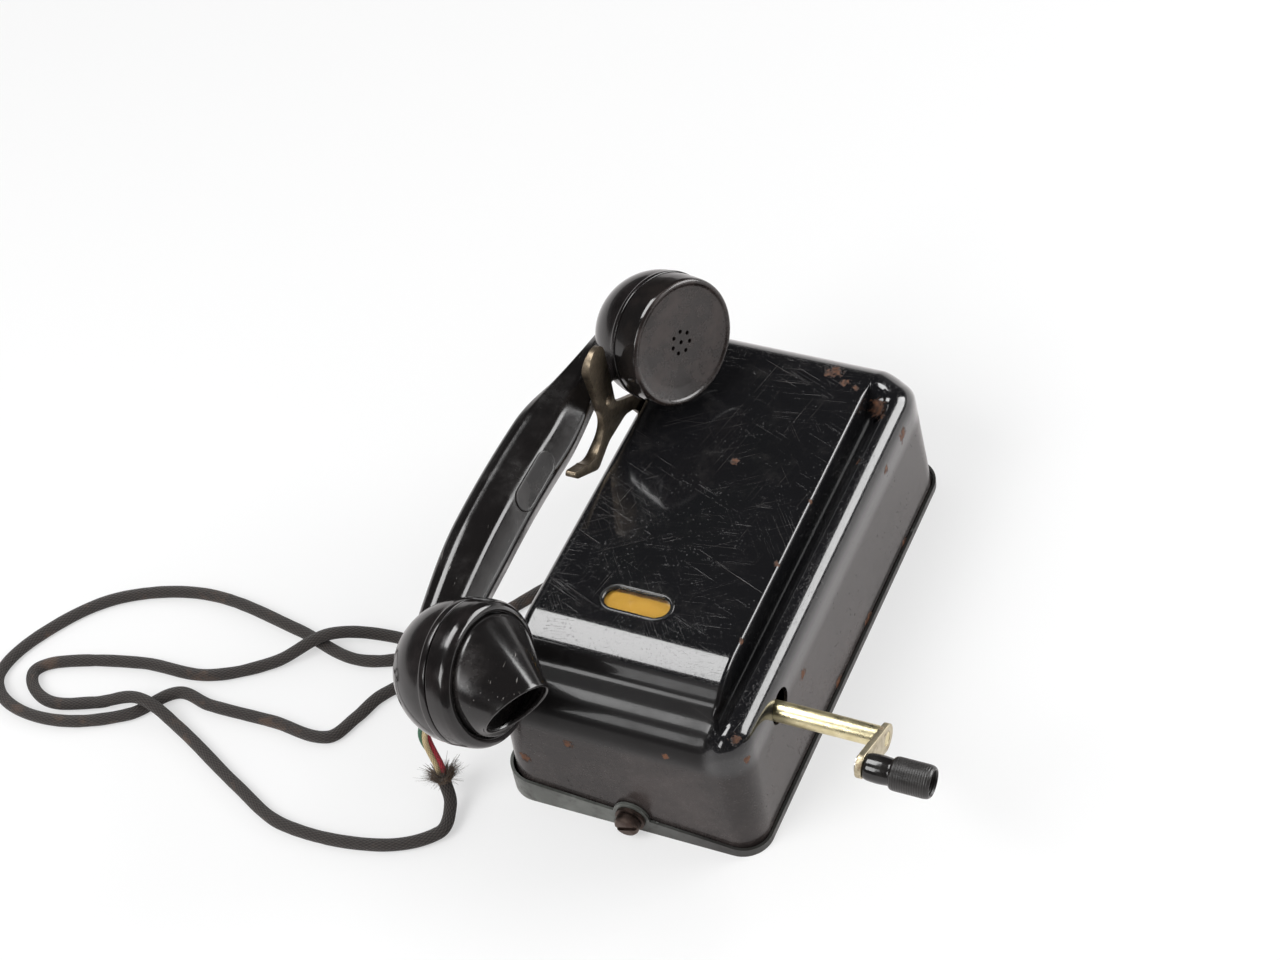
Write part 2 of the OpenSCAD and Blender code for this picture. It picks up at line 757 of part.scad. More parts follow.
module inner_wires() {
  color([0.5, 0.1, 0.08]) {
    tube([[8, -29, 15.5], [8, -29, 19], [6, -28, 24], [-4, -26, 33], [-12, -26, 35], [-16, -26, 33], [-16, -26, 30.2]],
      0.7, 8, [0.1, 1, 0]);
    tube([[18, -29, 15.5], [18, -28, 20], [18, -24, 23], [19, -14, 22], [20, -7.6, 20]], 0.7, 8, [1, 0, 0]);
    tube([[48, -29, 15.5], [48, -28, 19], [50, -22, 20], [52, -8, 18], [51, 24, 20], [44, 32, 28], [34, 36, 38],
      [22.3, 36, 42]], 0.7, 8, [1, 0.2, 0]);
    tube([[-47, pivot_y - 54.2, 6], [-47, 15, 8], [-46, 8, 12], [-42, 4, 18], [-37.4, 4, 20]], 0.7, 8, [0, 0.2, 1]);
  }
}

module in_handset() {
  translate(hs_at) rotate(hs_turn) children();
}

// Turns an upright shape so that it faces along +X
module facing() {
  rotate([0, 90, 0]) children();
}

module at_ear() {
  in_handset() rotate([0, 0, ear_tilt]) facing() children();
}

module at_mouth() {
  in_handset() translate([0, -handset_l, 0]) facing() children();
}

// Flattened eight-sided bar bent along the handset's long arc
module handle_bar() {
  a = 9;
  b = handle_w / 2;
  c = 4.6;
  bend = 450;
  translate([bend - 46, -100, 0]) rotate([0, 0, 168.7]) rotate_extrude(angle = 22.2, $fn = 180) translate([bend, 0])
    polygon([[-a, -b + 7.5], [-a + 6.5, -b], [a - c, -b], [a, -b + c], [a, b - c], [a - c, b], [-a + c, b], [-a, b - c]]);
}

// Round back of one end of the handset, behind its cap
module cup(r, back, inside) {
  difference() {
    union() {
      translate([0, 0, -back]) sphere(r = r);
      translate([0, 0, -back]) cylinder(h = back - cup_back, r = r + 0.4);
    }
    translate([0, 0, -cup_back]) cylinder(h = 60, r = r + 5);
  }
}

module cup_hollow(r, back) {
  translate([0, 0, -back]) sphere(r = r);
  translate([0, 0, -back]) cylinder(h = back, r = r);
}

module handset_body() {
  color([0.035, 0.03, 0.035]) difference() {
    union() {
      at_ear() cup(receiver_r, 16, true);
      at_mouth() cup(transmitter_r - 0.5, 17, true);
      in_handset() handle_bar();
    }
    at_ear() cup_hollow(receiver_r - 2.6, 16);
    at_mouth() cup_hollow(transmitter_r - 3.1, 17);
    translate([wire_top[0], wire_top[1], 60]) cylinder(h = 26, r = wire_r + 3.2);
  }
}

module handset_plaque() {
  color([0.06, 0.055, 0.06]) in_handset() translate([-45.6, -92, handle_w / 2 + 0.02]) rotate([0, 0, 90])
    linear_extrude(0.5) stadium(33, 12.5);
}

module receiver_cap() {
  r = receiver_r;
  color([0.03, 0.03, 0.035]) at_ear() difference() {
    rotate_extrude() polygon([[0, -4.6], [0, -1.8], [12, -1.6], [21, -1.1], [25.6, -0.4], [26.4, 0],
      [r - 3.2, 0], [r - 2, -0.5], [r - 1.2, -1.6], [r - 0.9, -3.6], [r - 0.3, -4.2], [r, -5], [r, -13.7], [r - 2.4, -13.7],
      [r - 2.4, -4.6]]);
    translate([0, 0, -6]) cylinder(h = 8, r = sound_hole_r);
    for (k = [0:6]) {
      rotate([0, 0, k * 360 / 7]) translate([5.4, 0, -6]) cylinder(h = 8, r = sound_hole_r);
    }
  }
}

module receiver_capsule() {
  color("silver") at_ear() difference() {
    translate([0, 0, -23]) cylinder(h = 18, r = 25.5);
    translate([0, 0, -6]) cylinder(h = 2, r = 22);
  }
}

module transmitter_ring() {
  r = transmitter_r;
  color([0.035, 0.03, 0.035]) at_mouth() rotate_extrude() polygon([[r - 3, -13.7], [r, -13.7], [r, -4.6],
    [r - 0.5, -3.2], [r - 1.6, -2.3], [r - 3, -2], [horn_r + 0.3, -2], [horn_r + 0.3, -3.8], [r - 3, -3.8]]);
}

// The slanted bell of the mouthpiece, as a solid of the given radii at its base and its lip
module bell(base_r, mouth_r, base_z, reach) {
  hull() {
    translate([0, 0, base_z]) cylinder(h = 0.5, r = base_r, $fn = 56);
    translate([0, -15, 17]) rotate([39.3, 0, 0]) translate([0, 0, reach]) cylinder(h = 0.5, r = mouth_r, $fn = 56);
  }
}

module mouthpiece() {
  color([0.05, 0.045, 0.05]) at_mouth() difference() {
    union() {
      translate([0, 0, -6.4]) cylinder(h = 2.4, r = transmitter_r - 3.2);
      translate([0, 0, -4.2]) cylinder(h = 4.4, r = horn_r);
      bell(horn_r, lip_r, 0, -0.5);
    }
    bell(horn_r - 2.2, lip_r - 2, -1.8, 0.2);
    for (k = [0:5]) {
      rotate([0, 0, 60 * k]) translate([7, 0, -8]) cylinder(h = 8, r = 1.5);
    }
  }
}

module transmitter_capsule() {
  color("silver") at_mouth() translate([0, 0, -25]) cylinder(h = 18, r = 26.5);
}

back_plate();
cover();
label_rim();
label_card();
label_window();
cover_screw();
screw_collar();
cover_nut();
inlet_gland();
line_cord();
braid_end();
wire_green();
wire_cream();
wire_red();
hook_lever();
hook_shaft();
hook_bracket();
hook_spring();
hook_cam();
contact_block();
contact_springs();
crank_shaft();
crank_arm();
knob_pin();
crank_knob();
crank_gear();
pinion();
armature_core();
armature_winding();
armature_shaft();
magnets();
pole_shoes();
generator_frame();
generator_base();
gong_left();
gong_right();
gong_posts();
gong_screws();
ringer_yoke();
ringer_coils();
ringer_armature();
clapper();
ringer_magnet();
induction_core();
induction_winding();
induction_cheeks();
capacitor();
terminal_block();
terminal_screws();
inner_wires();
handset_body();
handset_plaque();
receiver_cap();
receiver_capsule();
transmitter_ring();
mouthpiece();
transmitter_capsule();
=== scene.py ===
import bpy
import bmesh
import math
import numpy as np
from mathutils import Matrix, Vector


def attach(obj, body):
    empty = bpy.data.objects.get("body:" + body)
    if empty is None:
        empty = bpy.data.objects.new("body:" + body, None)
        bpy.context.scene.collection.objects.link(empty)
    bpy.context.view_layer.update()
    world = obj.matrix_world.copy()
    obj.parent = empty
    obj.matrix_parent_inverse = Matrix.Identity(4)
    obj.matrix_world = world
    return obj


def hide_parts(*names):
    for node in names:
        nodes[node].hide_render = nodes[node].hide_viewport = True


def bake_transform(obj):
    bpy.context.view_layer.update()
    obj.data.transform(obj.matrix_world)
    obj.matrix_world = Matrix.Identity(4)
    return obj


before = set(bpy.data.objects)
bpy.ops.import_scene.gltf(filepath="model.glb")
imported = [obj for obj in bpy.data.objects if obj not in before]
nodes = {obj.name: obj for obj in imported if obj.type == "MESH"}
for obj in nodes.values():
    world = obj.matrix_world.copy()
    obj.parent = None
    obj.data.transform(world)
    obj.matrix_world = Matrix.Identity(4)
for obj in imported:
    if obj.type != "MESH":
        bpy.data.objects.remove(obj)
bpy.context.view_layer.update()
scene = bpy.context.scene
scene.view_settings.view_transform = "Standard"
mm = 0.001
weld, sliver = 2e-6, 1e-6  # points nearer than this are one, and shorter edges go
xWay, yWay, zWay = (1, 0, 0), (0, 1, 0), (0, 0, 1)
print("frame loaded,", len(nodes), "nodes")


def linked(name, data):
    # an object with the data, in the scene
    obj = bpy.data.objects.new(name, data)
    scene.collection.objects.link(obj)
    return obj


# the camera, at the photograph's angle
view = {"place": (0.45069, -0.78877, 1.09386), "ahead": (-0.35646, 0.57905, -0.73324),
        "up": (-0.20868, 0.71562, 0.66659), "lens": 82.87, "sensor": 36, "near": 0.05, "far": 30}


def makeCamera():
    data = bpy.data.cameras.new("camera")
    data.lens, data.sensor_width = view["lens"], view["sensor"]
    data.clip_start, data.clip_end = view["near"], view["far"]
    back = -Vector(view["ahead"]).normalized()
    side = Vector(view["up"]).cross(back).normalized()
    turn = Matrix((side, back.cross(side), back)).transposed().to_4x4()
    turn.translation = view["place"]
    scene.camera = linked("camera", data)
    scene.camera.matrix_world = turn


makeCamera()
print("camera placed")


# helpers for meshes

def fromMm(points):
    return np.asarray(points, float) * mm


def unit(v):
    # each vector divided by its length
    return v / np.maximum(np.linalg.norm(v, axis=-1, keepdims=True), 1e-12)


def ease(a, b, x):
    # 0 below a, 1 above b, and 3t^2 - 2t^3 between
    t = np.clip((x - a) / (b - a), 0, 1)
    return t * t * (3 - 2 * t)


def finish(obj, body, replaced, look, crease=None):
    # smooth shading, sharp where faces meet at more than the crease's angle; then the finish and what it stands for
    mesh = obj.data
    mesh.shade_smooth()
    if crease:
        mesh.set_sharp_from_angle(angle=math.radians(crease))
    mesh.materials.clear()
    mesh.materials.append(look.material)
    if replaced:
        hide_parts(*replaced)
    if body:
        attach(obj, body)
    return obj


def cleaned(mesh, merge, outward=True):
    # doubles are merged and slivers dropped where asked, and the faces turned outwards
    bm = bmesh.new()
    bm.from_mesh(mesh)
    if merge:
        bmesh.ops.remove_doubles(bm, verts=bm.verts, dist=weld)
        bmesh.ops.dissolve_degenerate(bm, edges=bm.edges, dist=sliver)
    if outward:
        bmesh.ops.recalc_face_normals(bm, faces=bm.faces)
    bm.to_mesh(mesh)
    bm.free()
    return mesh


def meshFrom(name, points, faces, uv=None, outward=True):
    # points in metres, faces as rows of indices; doubles are merged, so a row drawn to one point becomes a pole
    mesh = bpy.data.meshes.new(name)
    mesh.from_pydata(points.reshape(-1, 3).tolist(), [], faces.tolist())
    if uv is not None:
        mesh.uv_layers.new(name="along").data.foreach_set("uv", uv.astype(np.float32).ravel())
    return linked(name, cleaned(mesh, True, outward))


def cellsOf(n, m, wrap=False):
    # row and column of each cell of a grid with n rows and m columns, and the indices of its four corners
    i, j = np.meshgrid(np.arange(n - 1), np.arange(m if wrap else m - 1), indexing="ij")
    k = (j + 1) % m
    return i, j, np.stack([i * m + j, i * m + k, (i + 1) * m + k, (i + 1) * m + j], -1).reshape(-1, 4)


def net(name, grid, wrap=False, uv=None, outward=True):
    # grid[i, j] is the surface at row i and column j; wrap joins the last column to the first
    i, j, faces = cellsOf(*grid.shape[:2], wrap)
    if uv is not None:  # uv is (u of columns, v of rows), with one more u than there are columns where it wraps
        u, v = uv
        uv = np.stack([np.stack([u[j + a], v[i + b]], -1) for a, b in ((0, 0), (1, 0), (1, 1), (0, 1))], -2)
    return meshFrom(name, grid, faces, uv, outward)


def closed(grid):
    # a first and a last row are added, each drawn to the middle of its neighbour
    return np.concatenate([grid[:1].mean(1, keepdims=True).repeat(grid.shape[1], 1), grid,
                           grid[-1:].mean(1, keepdims=True).repeat(grid.shape[1], 1)])


def ringNet(name, rings):
    # rings: rows of the same number of points, in mm, closed across by a pole at each end
    return net(name, fromMm(closed(np.asarray(rings, float))), True)


def revolve(name, profile, place, steps=128):
    # each (radius, height) of the profile, in mm, goes once round the axis z of the frame (origin, x, y, z)
    profile = np.array(profile, float)
    turn = np.linspace(0, 2 * np.pi, steps, endpoint=False)
    origin, x, y, z = place
    ring = np.cos(turn)[:, None] * x + np.sin(turn)[:, None] * y
    return net(name, fromMm(origin + profile[:, :1, None] * ring[None] + profile[:, 1:, None] * z), True)


def axes(origin, three):
    # a frame (origin, x, y, z) for revolve
    return (np.array(origin, float), *(np.array(v, float) for v in three))


def turned(x, y, z):
    # the three axes of a frame turned by x, then y, then z degrees
    m = (Matrix.Rotation(math.radians(z), 3, "Z") @ Matrix.Rotation(math.radians(y), 3, "Y")
         @ Matrix.Rotation(math.radians(x), 3, "X"))
    return np.array(m)


def rounded(points, radius, steps=5, share=0.45):
    # a polyline in which each corner is replaced by a short arc of the radius, as a quadratic curve; an arc takes at
    # most the given share of either side
    points = np.array(points, float)
    out = [points[:1]]
    t = np.linspace(0, 1, steps)[:, None]
    for a, b, c in zip(points[:-2], points[1:-1], points[2:]):
        r = min(radius, share * np.linalg.norm(a - b), share * np.linalg.norm(c - b))
        p, q = b + r * unit(a - b), b + r * unit(c - b)
        out.append((1 - t) ** 2 * p + 2 * t * (1 - t) * b + t * t * q)
    return np.concatenate(out + [points[-1:]])


def loop(points, radius, steps=6):
    # a closed outline with its corners rounded
    points = np.array(points, float)
    seam = (points[0] + points[-1]) / 2
    return rounded(np.concatenate([seam[None], points, seam[None]]), radius, steps)[:-1]


def disc(radius, u=xWay, v=yWay, centre=(0, 0, 0), steps=64):
    # a circle in the plane of u and v, as centre + radius (u cos + v sin)
    turn = np.linspace(0, 2 * np.pi, steps, endpoint=False)[:, None]
    return np.array(centre, float) + radius * (np.cos(turn) * np.array(u, float) + np.sin(turn) * np.array(v, float))


def stadium(long, high, out=0.0, steps=24):
    # the outline of a slot with round ends, in the xy plane
    r, h = high / 2 + out, (long - high) / 2
    right = np.linspace(-np.pi / 2, np.pi / 2, steps)
    points = np.concatenate([np.stack([h + r * np.cos(right), r * np.sin(right)], -1),
                             np.stack([-h - r * np.cos(right), -r * np.sin(right)], -1)])
    return np.concatenate([points, np.zeros((len(points), 1))], 1)


def prism(name, outline, low, high):
    # a flat outline (n x 3, in mm, at 0 on its axis) carried along an axis from low to high
    outline, low, high = np.array(outline, float), np.array(low, float), np.array(high, float)
    rows = np.stack([outline + low, outline + high])
    n = len(outline)
    sides = [(i, (i + 1) % n, n + (i + 1) % n, n + i) for i in range(n)]
    mesh = bpy.data.meshes.new(name)
    mesh.from_pydata((rows.reshape(-1, 3) * mm).tolist(), [], sides + [tuple(range(n)), tuple(range(n, 2 * n))])
    return linked(name, cleaned(mesh, False))


def settle(obj):
    # the modifiers' result becomes the piece's own mesh
    shape = bpy.data.meshes.new_from_object(obj.evaluated_get(bpy.context.evaluated_depsgraph_get()))
    old = obj.data
    obj.modifiers.clear()
    obj.data = shape
    shape.name = obj.name
    bpy.data.meshes.remove(old)


def carve(obj, cutters, operation="DIFFERENCE"):
    # each cutter is taken from the piece, or joined to it, and removed
    for cutter in cutters:
        step = obj.modifiers.new("cut", "BOOLEAN")
        step.operation, step.object, step.solver = operation, cutter, "EXACT"
    settle(obj)
    for cutter in cutters:
        bpy.data.objects.remove(cutter)


def softEdges(obj, width, sharp=50):
    # edges sharper than the given angle are bevelled by the width in mm
    edge = obj.modifiers.new("edge", "BEVEL")
    edge.width, edge.segments, edge.limit_method, edge.angle_limit = width * mm, 3, "ANGLE", math.radians(sharp)
    settle(obj)


# helpers for finishes

def feed(tree, socket, value):
    # a wire is linked to the socket, and anything else becomes the socket's own value
    if isinstance(value, Wire):
        tree.links.new(value.socket, socket)
    elif isinstance(value, tuple) and len(value) == 3 and socket.type == "RGBA":
        socket.default_value = (*value, 1)
    else:
        socket.default_value = value


class Wire:
    # one socket of a material's tree; arithmetic on it adds Math nodes
    def __init__(self, tree, socket=None):
        self.tree, self.socket = tree, socket

    def node(self, kind, settings=None, values=None, out=0):
        made = self.tree.nodes.new("ShaderNode" + kind)
        for key, value in (settings or {}).items():
            setattr(made, key, value)
        for key, value in (values or {}).items():
            feed(self.tree, made.inputs[key], value)
        return Wire(self.tree, made.outputs[out])

    def math(self, operation, *values, clamp=False):
        return self.node("Math", {"operation": operation, "use_clamp": clamp}, dict(enumerate((self,) + values)))

    def __add__(self, other): return self.math("ADD", other)
    def __radd__(self, other): return self.math("ADD", other)
    def __sub__(self, other): return self.math("SUBTRACT", other)
    def __rsub__(self, other): return (self * -1) + other
    def __mul__(self, other): return self.math("MULTIPLY", other)
    def __truediv__(self, other): return self.math("DIVIDE", other)

    def most(self, other): return self.math("MAXIMUM", other)
    def held(self): return self.math("ADD", 0.0, clamp=True)

    def between(self, low, high):
        # 0 at low and 1 at high, eased and held at both ends
        return self.node("MapRange", {"interpolation_type": "SMOOTHSTEP"},
                         {"Value": self, "From Min": low, "From Max": high})

    def tint(self, a, b):
        # colour a where this is 0 and b where it is 1
        return self.node("Mix", {"data_type": "RGBA"}, {0: self, 6: a, 7: b}, out=2)


def strongest(wires):
    # the greatest of all of them
    most = wires[0]
    for wire in wires[1:]:
        most = most.most(wire)
    return most


class Looks:
    # a material with its Principled shader and the patterns that read a piece's own coordinates
    def __init__(self, name, colour=(0.5, 0.5, 0.5), rough=0.5, metal=0.0, **values):
        self.name, self.material = name, bpy.data.materials.new(name)
        self.material.use_nodes = True
        self.tree = self.material.node_tree
        self.shader = self.tree.nodes["Principled BSDF"]
        self.w = Wire(self.tree)
        self.set("Base Color", colour)
        self.set("Roughness", rough)
        self.set("Metallic", metal)
        for key, value in values.items():
            self.set(key.replace("_", " "), value)
        self.place = self.w.node("TexCoord", out="Object")

    def set(self, key, value):
        feed(self.tree, self.shader.inputs[key], value)

    def stretched(self, x=1, y=1, z=1, at=(0, 0, 0), turn=(0, 0, 0)):
        # turned first and then stretched along the turned axes
        return self.w.node("Mapping", {"vector_type": "TEXTURE"},
                           {"Vector": self.place, "Location": at, "Scale": (1 / x, 1 / y, 1 / z),
                            "Rotation": tuple(math.radians(a) for a in turn)})

    def noise(self, scale, detail=3, rough=0.55, at=None):
        return self.w.node("TexNoise", {}, {"Vector": at or self.place, "Scale": scale, "Detail": detail,
                                            "Roughness": rough})

    def cells(self, scale):
        return self.w.node("TexVoronoi", {}, {"Vector": self.place, "Scale": scale})

    def waves(self, scale, bend=0.0):
        return self.w.node("TexWave", {}, {"Vector": self.place, "Scale": scale, "Distortion": bend}, out=1)

    def axis(self, k, base=None):
        return self.w.node("SeparateXYZ", {}, {0: base or self.place}, out=k)

    def vector(self, operation, a, b=(0, 0, 0), out=0):
        return self.w.node("VectorMath", {"operation": operation}, {0: a, 1: b}, out=out)

    def spot(self, x, y, z, size):
        # 1 at a point of the piece, in millimetres, falling to 0 at the given distance
        return 1 - (self.vector("DISTANCE", self.place, (x * mm, y * mm, z * mm), 1) / (size * mm)).held()

    def bump(self, height, distance, strength):
        self.set("Normal", self.w.node("Bump", {}, {"Height": height, "Distance": distance, "Strength": strength}))

    def over(self, share, other):
        # another shader is mixed over the Principled one by the share
        mixed = self.w.node("MixShader", {}, {0: share, 1: Wire(self.tree, self.shader.outputs[0]), 2: other})
        feed(self.tree, self.tree.nodes["Material Output"].inputs[0], mixed)


# a pale floor, a room that the camera sees white, and soft lamps: the shiny ones are seen only in reflections, and
# the others light only what is matt
studio = {"floor": (0.86, 0.86, 0.86), "floorRough": 0.7, "floorHalf": 6, "seen": 0.5, "mirrored": 0.40,
          "warm": (1, 0.93, 0.92), "world": 0.62, "overhead": 0.02, "horizon": 0.14, "domeBand": (0.02, 0.20),
          "lampFar": 1.7, "lampAim": (0, 0, 0.05)}
lamps = {"overSoft": {"ahead": (-0.42, 0.08, 0.90), "size": (0.95, 1.0), "power": 35, "shiny": True},
         "frontSoft": {"ahead": (-0.36, -0.73, 0.58), "size": (0.7, 0.7), "power": 13, "shiny": True},
         "frontKey": {"ahead": (-0.36, -0.60, 0.70), "size": (0.9, 0.9), "power": 17, "shiny": False},
         "backSoft": {"ahead": (0.73, 0.58, 0.40), "size": (1.4, 0.8), "power": 37, "shiny": True},
         "backKey": {"ahead": (0.73, 0.58, 0.50), "size": (0.9, 0.6), "power": 14, "shiny": False}}


def makeFloor():
    # one flat square that glows partly white where the camera sees it, and in reflections, and keeps the shadow
    half = studio["floorHalf"]
    grid = np.array([[[-half, -half, 0], [half, -half, 0]], [[-half, half, 0], [half, half, 0]]], float)
    floor = net("floor", grid, outward=False)
    pale = Looks("floorPaint", studio["floor"], studio["floorRough"], Specular_IOR_Level=0.1)
    seen = pale.w.node("LightPath", out="Is Camera Ray")
    mirrored = pale.w.node("LightPath", out="Is Glossy Ray")
    glow = pale.w.node("Emission", {}, {"Color": seen.tint(studio["warm"], (1, 1, 1)), "Strength": 1.0})
    pale.over(seen * studio["seen"] + mirrored * studio["mirrored"], glow)
    floor.data.materials.append(pale.material)


def makeRoom():
    # white to the camera, even light on matt surfaces, and in reflections a dark room that pales to the horizon
    scene.world = bpy.data.worlds.new("paleRoom")
    scene.world.use_nodes = True
    tree = scene.world.node_tree
    w = Wire(tree)
    height = w.node("SeparateXYZ", {}, {0: w.node("TexCoord", out="Generated")}, out=2)
    camera = w.node("LightPath", out="Is Camera Ray")
    shiny = w.node("LightPath", out="Is Glossy Ray").most(w.node("LightPath", out="Is Transmission Ray"))
    dome = (1 - height.between(*studio["domeBand"])) * studio["horizon"] + studio["overhead"]
    sky = tree.nodes["Background"].inputs
    feed(tree, sky["Strength"], camera + (1 - camera) * (shiny * dome + (1 - shiny) * studio["world"]))
    feed(tree, sky["Color"], (1, 1, 1))


def makeLamps():
    # rectangles on a sphere about the telephone, each facing its middle
    aim = Vector(studio["lampAim"])
    for name, lamp in lamps.items():
        data = bpy.data.lights.new(name, "AREA")
        data.shape, data.size, data.size_y, data.energy = "RECTANGLE", *lamp["size"], lamp["power"]
        obj = linked(name, data)
        obj.location = Vector(lamp["ahead"]).normalized() * studio["lampFar"] + aim
        obj.rotation_euler = (aim - obj.location).to_track_quat("-Z", "Y").to_euler()
        obj.visible_diffuse, obj.visible_glossy = not lamp["shiny"], lamp["shiny"]


# the finishes, each named for its slot in the record
enamel = {"black": (0.008, 0.008, 0.009), "dust": (0.036, 0.034, 0.033), "haze": 0.6, "gloss": 0.065,
          "wall": ((0.024, 0.019, 0.018), (0.058, 0.047, 0.044)), "wallTop": (0.052, 0.060),
          "ledge": (-0.0920, -0.0885), "ledgeEnd": (0.040, 0.046), "ledgeTone": (0.008, 0.007, 0.007),
          "scratch": (0.10, 0.09, 0.085), "thread": 0.008,
          "hairlines": ((35, 2600), (-22, 2300), (-52, 3000), (78, 2500), (8, 3400)),  # degrees, scale
          "rust": ((0.15, 0.062, 0.030), (0.045, 0.022, 0.014)),
          "rustAt": [(-2, 33, 83, 4), (22, 101, 81, 9), (30, 95, 82, 5), (36, 93, 82, 4), (47, 92, 73, 9),
                     (52, 84, 75, 5), (62, 85, 66, 8), (62, 62, 66, 5), (62, 20, 4, 9), (62, -20, 5, 7),
                     (62, -52, 50, 6), (62, 70, 4, 7), (24, -121, 60, 4), (-25, -121, 50, 5), (41, -66, 82, 3),
                     (40, -20, 83, 3), (60, -112, 62, 4), (41, 20, 82, 2.5), (50, 55, 77, 4), (55, -112, 74, 5),
                     (-50, -121, 30, 6)]}  # x, y, z and size in mm


def glossEnamel():
    # glossy black on top; hairlines in five directions, dust, pits, rust spots, and duller, browner walls
    m = Looks("cover", rough=0.1, Specular_IOR_Level=0.26, Coat_Roughness=0.06)
    scratch = strongest([m.noise(thin, 1, 0.5, m.stretched(enamel["thread"], turn=(0, 0, turn))).between(0.66, 0.77)
                         * m.noise(26, 5, 0.7, m.stretched(at=(turn * 0.01, 0, 0))).between(0.47, 0.62)
                         for turn, thin in enamel["hairlines"]])
    dust = m.noise(48, 9, 0.75).between(0.50, 0.78) * enamel["haze"]
    film = m.noise(24, 9, 0.72).between(0.42, 0.70)
    pits = (1 - m.cells(420).between(0.12, 0.24)) * m.noise(70, 4).between(0.48, 0.58)
    speck = m.noise(1900, 5, 0.75).between(0.50, 0.62)
    rust = strongest([m.spot(*at) for at in enamel["rustAt"]])
    worn = (rust * 0.40 + m.noise(430, 9, 0.8) * 0.95).between(0.68, 0.73) * rust.between(0, 0.1)
    wall = 1 - m.axis(2).between(*enamel["wallTop"])
    ledge = (1 - m.axis(1).between(*enamel["ledge"])) * (1 - wall) * (1 - m.axis(0).between(*enamel["ledgeEnd"]))
    colour = dust.tint(enamel["black"], enamel["dust"])
    colour = (wall * 0.8).tint(colour, film.tint(*enamel["wall"]))
    colour = (scratch * 0.5).tint(colour, enamel["scratch"])
    colour = worn.tint(colour, m.noise(420, 3).between(0.35, 0.65).tint(*enamel["rust"]))
    m.set("Base Color", colour)
    m.set("Roughness", enamel["gloss"] + dust * 0.16 + scratch * 0.12 + worn * 0.5 + pits * 0.2 + speck * 0.08
          + wall * (0.05 + film * 0.14) + ledge * 0.05)
    m.set("Coat Weight", (1 - wall * 0.85) * (1 - worn) * 0.7)
    m.bump(m.noise(30, 3) * 0.8 + m.noise(180, 2) * 0.25 - pits * 0.9 - scratch * 0.5 - worn * 1.2
           + (m.noise(900, 2) * 0.08 + speck * 0.05) * (1 - wall * 0.7), 0.00022, 0.6)
    dull = m.w.node("BsdfPrincipled", {}, {"Base Color": enamel["ledgeTone"], "Roughness": 0.34,
                                           "Specular IOR Level": 0.12})
    m.over(ledge * (1 - worn) * (0.78 + film * 0.12), dull)
    return m


# colours, among them the dark painted shade, and the span in metres over which the flange takes that painted shade
# towards the right
tray = {"paint": ((0.075, 0.080, 0.072), (0.150, 0.158, 0.145)), "grime": (0.030, 0.028, 0.025),
        "dark": (0.014, 0.013, 0.012), "paintedShadeFrom": (-0.01, 0.045), "chip": (0.36, 0.37, 0.34)}


def trayPaint():
    # blotchy grey-green, grimy, with a painted shade darkening it towards the right, and chips above the table's
    # level
    m = Looks("back_plate", rough=0.4)
    patch = m.noise(40, 6, 0.6).between(0.35, 0.7)
    chip = m.noise(85, 5, 0.65).between(0.66, 0.7) * m.axis(2).between(0.001, 0.004)
    grime = m.noise(140, 6, 0.7).between(0.45, 0.75)
    colour = patch.tint(*tray["paint"])
    colour = (grime * 0.7).tint(colour, tray["grime"])
    # painted shade: the right part of the flange is darkened in its colour
    colour = (m.axis(0).between(*tray["paintedShadeFrom"]) * 0.9).tint(colour, tray["dark"])
    colour = (chip * (1 - m.axis(0).between(0.0, 0.04) * 0.85)).tint(colour, tray["chip"])
    m.set("Base Color", colour)
    m.set("Roughness", 0.34 + grime * 0.25 + chip * 0.2)
    m.bump(m.noise(320, 4) * 0.5 - chip * 1.5, 0.00015, 0.6)
    return m


# colours, and the span in metres of the dark upper edge
paper = {"tones": ((0.40, 0.235, 0.028), (0.53, 0.335, 0.055)), "stain": (0.27, 0.135, 0.022),
         "edge": (0.10, 0.05, 0.02), "top": (-0.0565, -0.0525)}


def card():
    # ochre card, stained in patches and brown along its top
    m = Looks("label_card", rough=0.65)
    stain = m.noise(160, 7, 0.7)
    edge = (m.axis(1).between(*paper["top"]) * 0.9 + stain * 0.7).between(0.55, 0.98)
    colour = stain.between(0.55, 0.8).tint(m.noise(60, 4).tint(*paper["tones"]), paper["stain"])
    m.set("Base Color", edge.tint(colour, paper["edge"]))
    m.bump(m.noise(1400, 3) * 0.5 + m.noise(300, 2) * 0.3, 0.00008, 0.5)
    return m


def pane():
    # clear, slightly yellowed and smeared
    m = Looks("label_window", (0.98, 0.93, 0.80), 0.06, Transmission_Weight=1.0, IOR=1.46)
    m.set("Roughness", 0.04 + m.noise(220, 5).between(0.5, 0.8) * 0.2)
    m.bump(m.noise(70, 2), 0.00006, 0.4)
    return m


def metal(name, light, dark, rough, grain=(1, 1, 1), rust=None, scale=150, stain=0.5):
    # a metal with two tones in blotches, a fine directional grain and, where given, rust in its hollows
    m = Looks(name, metal=1.0)
    blotch = m.noise(scale, 6, 0.65).between(0.32, 0.72)
    fine = m.noise(1300, 3, 0.6, m.stretched(*grain))
    colour = (blotch * stain).tint(light, dark)
    colour = (fine.between(0.55, 0.75) * 0.35).tint(colour, dark)
    if rust:
        patch = m.noise(scale * 0.6, 8, 0.72).between(0.52, 0.66)
        colour = patch.tint(colour, rust)
        m.set("Metallic", 1 - patch * 0.8)
        m.set("Roughness", rough + blotch * 0.16 + patch * 0.35)
    else:
        m.set("Roughness", rough + blotch * 0.16 + fine.between(0.4, 0.7) * 0.1)
    m.set("Base Color", colour)
    m.bump(fine * 0.6 + blotch * 0.4, 0.00012, 0.6)
    return m


